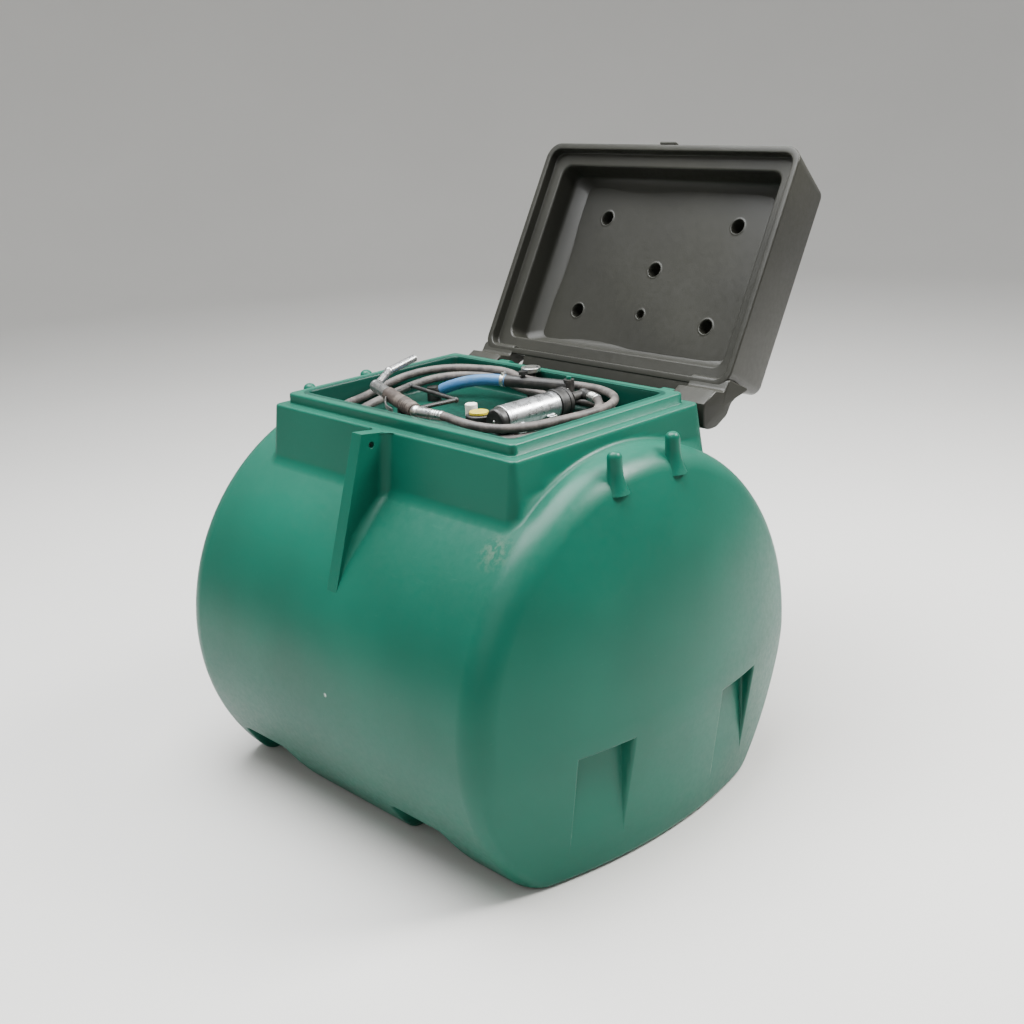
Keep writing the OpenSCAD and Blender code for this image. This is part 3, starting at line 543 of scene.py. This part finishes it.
def tank_middle(material):
    """The barrel with the box on it: rays square to the axis at each place and angle."""
    x = along_lines()
    a = around_lines()
    start = np.zeros((len(x), len(a), 3))
    start[..., 0] = x[:, None]
    start[..., 2] = AXIS
    aim = np.zeros_like(start)
    aim[..., 1] = np.cos(a)
    aim[..., 2] = np.sin(a)
    points = settle(tank_form, start, aim, 0.86)
    faces = grid_faces(len(x), len(a), True)
    centre = points.reshape(-1, 3)[faces].mean(axis=1)
    open_top = ((np.abs(centre[:, 0] - BOX_X) < CAV_HX + 0.001) & (np.abs(centre[:, 1]) < CAV_HY + 0.001)
                & (centre[:, 2] > 1.09))
    flat = points.reshape(-1, 3)
    return new_piece("tank_skin", flat, faces[~open_top], material, "tank", normals=slope_of(tank_form, flat))


def end_patch(name, side, material):
    """The part of an end that holds its two recesses: rays along the axis on a square grid, whose lines lie close
    at the recesses' edges; it stands 0.15 mm proud of the end's own surface, which stops under its border."""
    keys = [(s * v, 0.010, 0.0018) for v in (0.178, 0.340) for s in (1, -1)]
    y = crowded(-0.40, 0.40, 0.011, keys)
    z = crowded(0.062, 0.425, 0.010, [(0.366, 0.010, 0.0018)])
    gy, gz = np.meshgrid(y, z, indexing="ij")
    start = np.stack([np.full_like(gy, TANGENT * side), gy, gz], -1)
    aim = np.broadcast_to(np.array([float(side), 0.0, 0.0]), start.shape)
    points = settle(tank_form, start, aim, 0.30).reshape(-1, 3)
    normals = slope_of(tank_form, points)
    faces = grid_faces(len(y), len(z), False)
    return new_piece(name, points + 0.00015 * normals, faces if side < 0 else faces[:, ::-1], material, "tank",
                     normals=normals)


def tank_end(name, side, material):
    """One end: a fan of rays from a ring inside the knuckle, then rays along the axis to the pole."""
    a = around_lines()
    drop = np.maximum(-np.sin(a), 1e-6)
    ring = -np.log(np.exp(-40 * KNUCKLE_C) + np.exp(-40 * np.minimum((AXIS - 0.05) / drop, 3.0))) / 40
    fan = np.radians(crowded(0.0, 90.0, 4.0, [(66.0, 14.0, 2.0)]))
    shrink = 1 - np.linspace(0, 1, 66)[1:-1]
    y = np.concatenate([np.broadcast_to(ring * np.cos(a), (len(fan), len(a))), shrink[:, None] * ring * np.cos(a)])
    z = np.concatenate([np.broadcast_to(ring * np.sin(a), (len(fan), len(a))), shrink[:, None] * ring * np.sin(a)]) + AXIS
    low = slice(len(fan), None)
    for line in (0.174, 0.182, 0.336, 0.344):
        near = (np.abs(np.abs(y[low]) - line) < 0.0036) & (z[low] < 0.374)
        y[low] = np.where(near, np.sign(y[low]) * line, y[low])
    for line in (0.362, 0.370):
        near = (np.abs(z[low] - line) < 0.0036) & (np.abs(np.abs(y[low]) - 0.259) < 0.088)
        z[low] = np.where(near, line, z[low])
    start = np.stack([np.full_like(y, TANGENT * side), y, z], -1)
    angle = np.concatenate([fan, np.full(len(shrink), math.pi / 2)])[:, None]
    aim = np.stack(np.broadcast_arrays(side * np.sin(angle), np.cos(angle) * np.cos(a), np.cos(angle) * np.sin(a)), -1)
    points = settle(tank_form, start, aim, 0.30)
    inward = (np.abs(points[..., 1]) < 0.385) & (points[..., 2] > 0.078) & (points[..., 2] < 0.405)
    inward[:len(fan)] = False
    pole = settle(tank_form, np.array([[TANGENT * side, 0, AXIS]]), np.array([[side, 0.0, 0.0]]), 0.30)
    count = len(a)
    faces = grid_faces(len(points), count, True)
    j = np.arange(count)
    base = (len(points) - 1) * count
    faces = faces[~inward.reshape(-1)[faces].all(axis=1)]
    tip = np.stack([base + j, base + (j + 1) % count, np.full(count, base + count), np.full(count, base + count)], -1)
    if side < 0:
        faces, tip = faces[:, ::-1], tip[:, [1, 0, 2, 3]]
    everything = faces.tolist() + tip[:, :3].tolist()
    flat_points = np.concatenate([points.reshape(-1, 3), pole])
    return new_piece(name, flat_points, everything, material, "tank", normals=slope_of(tank_form, flat_points))


# ---------------------------------------------------------------- tank pieces
middle = tank_middle(green)
near = tank_end("near_end_skin", 1, green)
far = tank_end("far_end_skin", -1, green)
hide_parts("barrel", "box_walls", "box_rim", "fork_channels")
near_patch = end_patch("near_recesses", 1, green)
far_patch = end_patch("far_recesses", -1, green)
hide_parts("near_end")
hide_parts("far_end")
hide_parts("near_end")
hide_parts("far_end")


def lining():
    """The box's inside: a rounded rectangle carried from the rim's top over its inner edge, down the wall,
    round the foot and over the floor to a pole in the middle."""
    rows = [[CAV_HX + 0.016, CAV_HY + 0.016, CAV_R + 0.016, RIM_Z + 0.0001], [CAV_HX, CAV_HY, CAV_R, RIM_Z + 0.0001],
            [CAV_HX - 0.003, CAV_HY - 0.003, CAV_R, 1.0262], [CAV_HX - 0.05, CAV_HY - 0.05, 0.03, 1.0262]]
    rings = corner_ring(rounded(rows, [0.008, 0.014])) + [BOX_X, 0.0, 0.0]
    verts, faces = capped(rings)
    edge = rings.shape[1]
    faces = [f for f in faces if rings.shape[0] * edge not in f]
    # The lining takes the darker green that carries painted shade on its walls and floor.
    piece = new_piece("box_lining", verts, faces, inside, "tank")
    piece.data.flip_normals()
    return piece


inner = lining()
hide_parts("box_liner", "box_floor")


def tie_peg(name, x, y):
    """A moulded peg: a turned post whose foot flares out as the square of its nearness to the end's surface."""
    a = np.linspace(0, 2 * np.pi, 49)[:-1]
    rise = np.concatenate([np.linspace(0, 0.088, 22), 0.088 + 0.016 * np.sin(np.linspace(0, np.pi / 2, 9))[1:]])
    radius = 0.0205 - 0.02 * rise + 0.015 * np.clip(1 - rise / 0.065, 0, 1) ** 2
    crown = np.clip((rise - 0.088) / 0.016, 0, 1)
    radius = radius * np.sqrt(np.clip(1 - (crown * 0.985) ** 2, 0, 1)) ** 0.8
    ring = np.stack([x + radius[:, None] * np.cos(a), y + radius[:, None] * np.sin(a), np.broadcast_to((0.966 + rise)[:, None], (len(rise), len(a)))], -1)
    verts, faces = capped(ring)
    return new_piece(name, verts, faces, green, "tank", crease=60)


pegs = [tie_peg("tie_peg_%d" % i, sx * 0.612, sy * 0.1075)
        for i, (sx, sy) in enumerate([(1, -1), (1, 1), (-1, -1), (-1, 1)])]
for one in pegs:
    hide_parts("tie_pegs")


def rib_root(side):
    """The fillet between the latch rib and the wall behind it: a quarter hollow of 26 mm carried down the root
    from the ledge, over the wall and on down the barrel."""
    z = np.linspace(LEDGE_Z - 0.0005, 0.74, 40)
    wall = BOX_HY + DRAFT * (LEDGE_Z - z)
    barrel = np.sqrt(np.maximum(RADIUS ** 2 - (z - AXIS) ** 2, 0))
    y = -(wall + (barrel - wall) * (barrel > wall))
    r = 0.030 * np.clip((z - 0.735) / 0.10, 0.05, 1)
    a = np.linspace(0, np.pi / 2, 10)
    x = BOX_X + side * (0.0199 + r[:, None] * (1 - np.sin(a)))
    rows = np.stack([x, y[:, None] - r[:, None] * (1 - np.cos(a)) + 0.0006, np.broadcast_to(z[:, None], x.shape)], -1)
    back = np.stack([np.full(len(z), BOX_X), y + 0.012, z], -1)[:, None]
    ring = np.concatenate([rows, back], axis=1)
    verts, faces = capped(ring)
    part = new_piece("rib_root_%s" % ("near" if side > 0 else "far"), verts, faces, green, "tank", crease=50)
    if side < 0:
        part.data.flip_normals()
    return part


roots = [rib_root(s) for s in (1, -1)]
rib = eased("latch_rib", 0.005, green, segments=3)
lugs = eased("hinge_lugs", 0.003, green)


# ---------------------------------------------------------------- lid
HINGE_Y, HINGE_Z, OPEN = 0.404, 1.056, math.radians(119.4)
LID_Y, LID_Z = -0.003, 1.085
LID_HX, LID_HY, LID_H = 0.481, 0.349, 0.211
SEAT_X, SEAT_Y, SEAT_Z = LID_HX - 0.063, LID_HY - 0.063, 0.030
BAND_Z, TRAY_Z = 0.095, 0.120
DIMPLES = [(0.253, 0.153, 0.020), (0.253, -0.153, 0.020), (-0.253, 0.153, 0.020), (-0.253, -0.153, 0.020),
           (0.0, 0.0, 0.020), (0.0, 0.141, 0.012)]


def opened(points):
    """Turns what is worked out for the shut lid about the hinge's axis into its open place."""
    y = points[..., 1] + LID_Y - HINGE_Y
    z = points[..., 2] + LID_Z - HINGE_Z
    c, s = math.cos(OPEN), math.sin(OPEN)
    return np.stack([points[..., 0] + BOX_X, HINGE_Y + y * c + z * s, HINGE_Z - y * s + z * c], -1)


def lid_moulding():
    """One closed skin: from the tray's floor up its leaning band and wall, over the seat and the lip,
    and down the tapering outside to the crown, each row a rounded rectangle."""
    floor_x, floor_y = SEAT_X - 0.007 - 0.045, SEAT_Y - 0.007 - 0.027
    rows = [[floor_x - 0.015, floor_y - 0.015, 0.022, TRAY_Z + 0.0015], [floor_x, floor_y, 0.028, TRAY_Z],
            [SEAT_X - 0.007, SEAT_Y - 0.007, 0.032, BAND_Z], [SEAT_X, SEAT_Y, 0.034, SEAT_Z],
            [LID_HX - 0.021, LID_HY - 0.021, 0.036, SEAT_Z], [LID_HX - 0.021, LID_HY - 0.021, 0.036, 0.0],
            [LID_HX, LID_HY, 0.050, 0.0], [LID_HX - 0.041, LID_HY - 0.041, 0.026, LID_H],
            [LID_HX - 0.10, LID_HY - 0.10, 0.02, LID_H]]
    bent = rounded(rows, [0.0, 0.010, 0.008, 0.006, 0.006, 0.008, 0.014, 0.0])
    verts, faces = capped(opened(corner_ring(bent, 12)))
    cols = 48
    faces = [f for f in faces if len(bent) * cols not in f]
    part = new_piece("lid_moulding", verts, faces, black, "lid", crease=50)
    part.data.flip_normals()
    return part


def lid_floor():
    """The tray's floor as a height over a grid: flat, with round wells that go down steeply, a raised lip round
    each, and a swell of a millimetre where the moulding drew in."""
    keys_x = [(x, r + 0.002, 0.0016) for x, _, r in DIMPLES]
    keys_y = [(y, r + 0.002, 0.0016) for _, y, r in DIMPLES]
    x = crowded(-0.366, 0.366, 0.012, keys_x)
    y = crowded(-0.252, 0.252, 0.012, keys_y)
    gx, gy = np.meshgrid(x, y, indexing="ij")
    z = TRAY_Z + 0.0011 * np.sin(gx * 11.0) * np.cos(gy * 13.0)
    for cx, cy, r in DIMPLES:
        far = np.hypot(gx - cx, gy - cy)
        well = np.clip((r + 0.0015 - far) / 0.0045, 0, 1)
        z = z + 2.2 * r * well * well * (3 - 2 * well) - 0.0012 * np.exp(-((far - r - 0.004) / 0.0022) ** 2)
    verts = opened(np.stack([gx, gy, z], -1)).reshape(-1, 3)
    part = new_piece("lid_floor", verts, grid_faces(len(x), len(y), False), black, "lid", crease=0)
    return part


def hinge_lobe(name, x0, x1):
    """The lid's knuckle: its side outline with rounded corners, carried across the lid and rounded over at both ends."""
    outline = np.array([[0.366, 1.080], [0.361, 1.056], [0.361, 1.006], [0.386, 0.995], [0.416, 0.995], [0.464, 1.018],
                        [0.484, 1.050], [0.506, 1.062], [0.560, 1.072], [0.474, 1.1165], [0.452, 1.086], [0.404, 1.099]])
    wide = np.concatenate([outline[-2:], outline, outline[:2]])
    bent = rounded(np.pad(wide, ((0, 0), (0, 2))), [0.010] * (len(wide) - 2), 4)[:, :2][10:-10]
    mid = bent.mean(axis=0)
    t = np.linspace(0, np.pi / 2, 5)
    inset = np.concatenate([1 - np.sin(t), np.zeros(2), 1 - np.sin(t[::-1])]) * 0.006
    place = np.concatenate([x0 + 0.006 * (1 - np.cos(t)), [x0 + 0.03, x1 - 0.03], x1 - 0.006 * (1 - np.cos(t[::-1]))])
    toward = (mid - bent) / np.linalg.norm(mid - bent, axis=1)[:, None]
    flat = bent[None] + inset[:, None, None] * toward[None]
    rings = np.concatenate([np.broadcast_to(place[:, None, None], flat.shape[:2] + (1,)), flat], axis=-1)
    verts, faces = capped(rings)
    part = new_piece(name, verts, faces, black, "lid", crease=40)
    recheck(part)
    return part


def recheck(obj):
    """Turns a closed skin's faces outward where the outline ran the other way."""
    work = bmesh.new()
    work.from_mesh(obj.data)
    bmesh.ops.recalc_face_normals(work, faces=work.faces)
    work.to_mesh(obj.data)
    work.free()


lid_skin = lid_moulding()
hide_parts("lid_shell", "lid_seat", "lid_tray")
tray_floor = lid_floor()
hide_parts("lid_panel")
def hinge_flange():
    """The flap along the lid's hinge side: a plate 6 mm thick that carries the lip's plane 55 mm further, with a
    rounded free edge, worked out shut and then opened."""
    t = np.linspace(-np.pi / 2, np.pi / 2, 7)
    out = np.concatenate([[0.340], 0.398 + 0.003 * np.cos(t), [0.340]])
    up = np.concatenate([[0.0025], 0.0055 + 0.003 * np.sin(t), [0.0085]])
    up = up + 0.0015 * np.clip((out - 0.35) / 0.05, 0, 1)
    place = np.array([-0.295, -0.293, 0.347, 0.349])
    grow = np.array([0.85, 1.0, 1.0, 0.85])
    mid = np.array([0.37, 0.0055])
    flat = mid + (np.stack([out, up], -1) - mid)[None] * grow[:, None, None]
    rings = np.concatenate([np.broadcast_to(place[:, None, None], flat.shape[:2] + (1,)), flat], axis=-1)
    verts, faces = capped(opened(rings))
    part = new_piece("lid_hinge_flange", verts, faces, black, "lid", crease=40)
    recheck(part)
    return part


lobes = [hinge_lobe("lid_lobe_near", 0.378, 0.508), hinge_lobe("lid_lobe_far", -0.454, -0.324)]
for one in lobes:
    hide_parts("lid_lobes")
flange = hinge_flange()
eased("lid_tab", 0.003, black, "lid")
eased("hinge_pins", 0.001, zinc)


# ---------------------------------------------------------------- pump kit
LINE = np.array([-math.cos(math.radians(14.7)), -math.sin(math.radians(14.7)), 0.0])
ELBOW = np.array([0.165, 0.206, 1.104])
eased("pump_cradle", 0.0015, zinc)
eased("pump_ports", 0.0015, casting)
eased("outlet_port", 0.0015, casting)
eased("bleed_screw", 0.0012, green)
eased("valve_knob", 0.0025, plastic)
eased("hose_clamps", 0.0008, zinc)
eased("suction_stand", 0.0015, plastic)
eased("riser_pipe", 0.0008, plastic)
eased("riser_cap", 0.0025, zinc)
eased("meter_body", 0.004, plastic)
eased("meter_cap", 0.002, yellow)
eased("drain_knob", 0.0035, white)
eased("nozzle_rest", 0.0015, plastic)
NOZZLE = {"nozzle_swivel": zinc, "nozzle_body": brown, "nozzle_head": satin, "nozzle_spout": satin, "nozzle_guard": plastic}
for name, finish in NOZZLE.items():
    NODES[name].data.materials.clear()
    NODES[name].data.materials.append(finish)
blue_skin = eased("blue_hose", 0.0005, plastic)
blue_skin.data.materials.clear()
blue_skin.data.materials.append(moulded_plastic("extruded_blue_pvc", "38658F", "56738C", 0.4, 0.002, 0.00006))

motor = turned("pump_motor_skin", rounded([[0.0, 0.030], [0.0, 0.038], [0.010, 0.038], [0.0105, 0.0372], [0.0120, 0.0372],
                                           [0.0125, 0.038], [0.180, 0.038], [0.1805, 0.0372], [0.182, 0.0372],
                                           [0.1825, 0.038], [0.195, 0.038], [0.195, 0.030]],
                                          [0.002, 0, 0, 0, 0, 0, 0, 0, 0, 0.002]),
               (0.172, -0.062, 1.068), (0, 1, 0), alloy, around=64)
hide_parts("pump_motor")
cap = turned("motor_cap_skin", rounded([[0.0, 0.010], [0.0, 0.030], [0.006, 0.034], [0.024, 0.034], [0.024, 0.02]],
                                       [0.003, 0.004, 0.0, 0.0]), (0.172, -0.086, 1.068), (0, 1, 0), plastic, around=64)
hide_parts("motor_cap")
head = turned("pump_head_skin", rounded([[0.0, 0.030], [0.0, 0.042], [0.012, 0.042], [0.013, 0.039], [0.032, 0.039],
                                         [0.033, 0.042], [0.045, 0.042], [0.045, 0.030]],
                                        [0.002, 0.001, 0.001, 0.001, 0.001, 0.002]),
              (0.172, 0.133, 1.068), (0, 1, 0), casting, around=64)
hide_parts("pump_head")



def hexagon_nut(name, foot, aim, across, high, bore, material):
    """A hexagon with its corners chamfered: a profile of three radii carried round six sides."""
    r = across / math.sqrt(3)
    part = turned(name, [[0.0, bore], [0.0, r * 0.93], [high * 0.12, r], [high * 0.88, r], [high, r * 0.93], [high, bore]],
                  foot, aim, material, around=6, crease=20)
    return part


def ferrule(name, path, reach, radius, material):
    """A crimped sleeve on a hose's end: its radius rises over the hose in steps, with three pressed grooves."""
    far = arc_length(path)
    s = np.linspace(0, reach, 60)
    centre = np.stack([np.interp(s, far, path[:, i]) for i in range(3)], -1)
    groove = sum(np.exp(-((s / reach - c) / 0.035) ** 2) for c in (0.3, 0.5, 0.7))
    swell = radius * (1.0 - 0.10 * groove) * np.minimum(1, 0.9 + 0.1 * np.minimum(s, reach - s) / 0.003)
    part = tube(name, centre, swell, material, around=32, crease=50)
    return part


def worm_screw(name, centre, aim, material):
    """The screw housing of a hose clip: a short rounded barrel across the band with a wider head."""
    part = turned(name, rounded([[-0.009, 0.001], [-0.009, 0.0042], [0.006, 0.0042], [0.006, 0.0035], [0.0075, 0.0035],
                                 [0.0075, 0.0048], [0.011, 0.0048], [0.011, 0.001]],
                                [0.0008, 0.0006, 0, 0, 0.0003, 0.0008]), centre, aim, material, around=28)
    return part


outlet_sleeve = ferrule("outlet_ferrule", hose_path, 0.045, 0.0142, zinc)
swivel_sleeve = ferrule("swivel_ferrule", hose_path[::-1], 0.042, 0.0138, zinc)
for i, turn_at in enumerate(np.radians([15, 75, 135, 195, 255, 315])):
    bolt_at = (0.172 + 0.034 * math.cos(turn_at), 0.1315, 1.068 + 0.034 * math.sin(turn_at))
    if 1.068 + 0.034 * math.sin(turn_at) > 1.05:
        hexagon_nut("head_bolt_%d" % i, (bolt_at[0], 0.178, bolt_at[2]), (0, 1, 0), 0.010, 0.005, 0.0005, zinc)
cap_screw = turned("cap_screw", rounded([[-0.0025, 0.0005], [-0.0025, 0.0035], [0.0, 0.0042], [0.0, 0.001]], [0.001, 0.0]),
                   (0.172, -0.086, 1.068), (0, 1, 0), zinc, around=24)
pipe_end = ELBOW + 0.210 * LINE
clip_up = np.cross(LINE, [0, 0, 1.0])
worm_screw("suction_clip_screw", pipe_end + np.array([0, 0, 0.0198]), clip_up, zinc)
GRIP_A = np.array([0.032, -0.229, 1.105])
GRIP_V = np.array([-0.9435, 0.3305, 0.0239])
SIDE_V = np.cross(GRIP_V, [0.0, 0.0, 1.0])
SIDE_V = SIDE_V / np.linalg.norm(SIDE_V)


def grip_rings():
    """Raised rings round the grip's lower half, five of them, each a half round 1.2 mm high and 5 mm wide."""
    for i in range(5):
        t = np.linspace(-1, 1, 9)
        profile = np.stack([0.0026 * t, 0.0198 + 0.0014 * np.sqrt(1 - t ** 2)], -1)
        part = turned("grip_ring_%d" % i, profile, GRIP_A + (0.040 + 0.012 * i) * GRIP_V, GRIP_V, brown, around=48)


def lever():
    """The nozzle's lever inside its guard: a flat bar 12 mm wide carried along a shallow curve."""
    start = GRIP_A + 0.175 * GRIP_V - 0.021 * SIDE_V
    path = smooth_path(np.array([start, start - 0.045 * GRIP_V - 0.018 * SIDE_V,
                                 start - 0.100 * GRIP_V - 0.030 * SIDE_V, start - 0.128 * GRIP_V - 0.028 * SIDE_V]), 24)
    run = np.gradient(path, axis=0)
    run /= np.linalg.norm(run, axis=1)[:, None]
    over = np.array([0.0, 0.0, 1.0])
    thick = np.cross(run, over)
    a = np.linspace(0, 2 * np.pi, 24, endpoint=False)
    wide = 0.006 * np.sign(np.cos(a)) * np.abs(np.cos(a)) ** 0.4
    deep = 0.0018 * np.sign(np.sin(a)) * np.abs(np.sin(a)) ** 0.4
    rings = path[:, None] + wide[None, :, None] * over + deep[None, :, None] * thick[:, None]
    verts, faces = capped(rings)
    part = new_piece("nozzle_lever", verts, faces, satin, "tank", crease=40)
    recheck(part)


grip_rings()
lever()


# ---------------------------------------------------------------- floor and light
def floor():
    """A wide pale dish under the tank: a flat disc, then a quarter round and a wall all the way about, so that no
    view meets an edge. The profile (radius, height) is carried round the vertical axis."""
    a = np.linspace(0, np.pi / 2, 25)
    out = np.concatenate([[0.02, 2.0, 9.0], 9.0 + 5.0 * np.sin(a), [14.0]])
    rise = np.concatenate([[0.0, 0.0, 0.0], 5.0 - 5.0 * np.cos(a), [9.0]])
    turn = np.linspace(0, 2 * np.pi, 129)[:-1]
    rings = np.stack([out[:, None] * np.cos(turn), out[:, None] * np.sin(turn),
                      np.broadcast_to(rise[:, None], (len(out), len(turn)))], -1)
    faces = grid_faces(len(out), len(turn), True)[:, ::-1].tolist() + [list(range(len(turn)))]
    mat, tree, shader = surface("matt_painted_board_pale", "CDCCC9", 0.9)
    place = put(tree, "ShaderNodeTexCoord").outputs["Object"]
    cloud = put(tree, "ShaderNodeTexNoise", {"Scale": 0.7, "Detail": 3.0}, {"Vector": place})
    tree.links.new(blended(tree, cloud.outputs["Fac"], "CAC9C6", "D0CFCC"), shader.inputs["Base Color"])
    mesh = bpy.data.meshes.new("floor")
    mesh.from_pydata(rings.reshape(-1, 3).tolist(), [], faces)
    mesh.polygons.foreach_set("use_smooth", np.full(len(mesh.polygons), True))
    obj = bpy.data.objects.new("floor", mesh)
    bpy.context.scene.collection.objects.link(obj)
    mesh.materials.append(mat)


def lamp(name, place, aim, size, power, warm):
    """A square soft lamp at place, facing aim."""
    data = bpy.data.lights.new(name, "AREA")
    data.size = size
    data.energy = power
    data.color = warm
    obj = bpy.data.objects.new(name, data)
    bpy.context.scene.collection.objects.link(obj)
    z = np.array(place, float) - np.array(aim, float)
    z /= np.linalg.norm(z)
    x = np.cross([0, 0, 1.0], z)
    x /= np.linalg.norm(x)
    y = np.cross(z, x)
    m = Matrix.Identity(4)
    for i in range(3):
        m[i][0], m[i][1], m[i][2], m[i][3] = float(x[i]), float(y[i]), float(z[i]), float(place[i])
    obj.matrix_world = m


floor()
lamp("key", (2.4, 2.4, 4.2), (0.3, 0, 0.8), 1.8, 470, (1.0, 0.99, 0.97))
lamp("front", (1.8, -4.6, 3.4), (0, 0, 0.8), 3.4, 35, (1.0, 0.99, 0.98))
lamp("top", (-0.6, -0.4, 5.2), (0, 0, 0.9), 4.0, 860, (0.98, 0.99, 1.0))
world = bpy.data.worlds.new("studio")
bpy.context.scene.world = world
world.use_nodes = True
world.node_tree.nodes["Background"].inputs["Color"].default_value = colour("F4F5F6")
world.node_tree.nodes["Background"].inputs["Strength"].default_value = 0.7
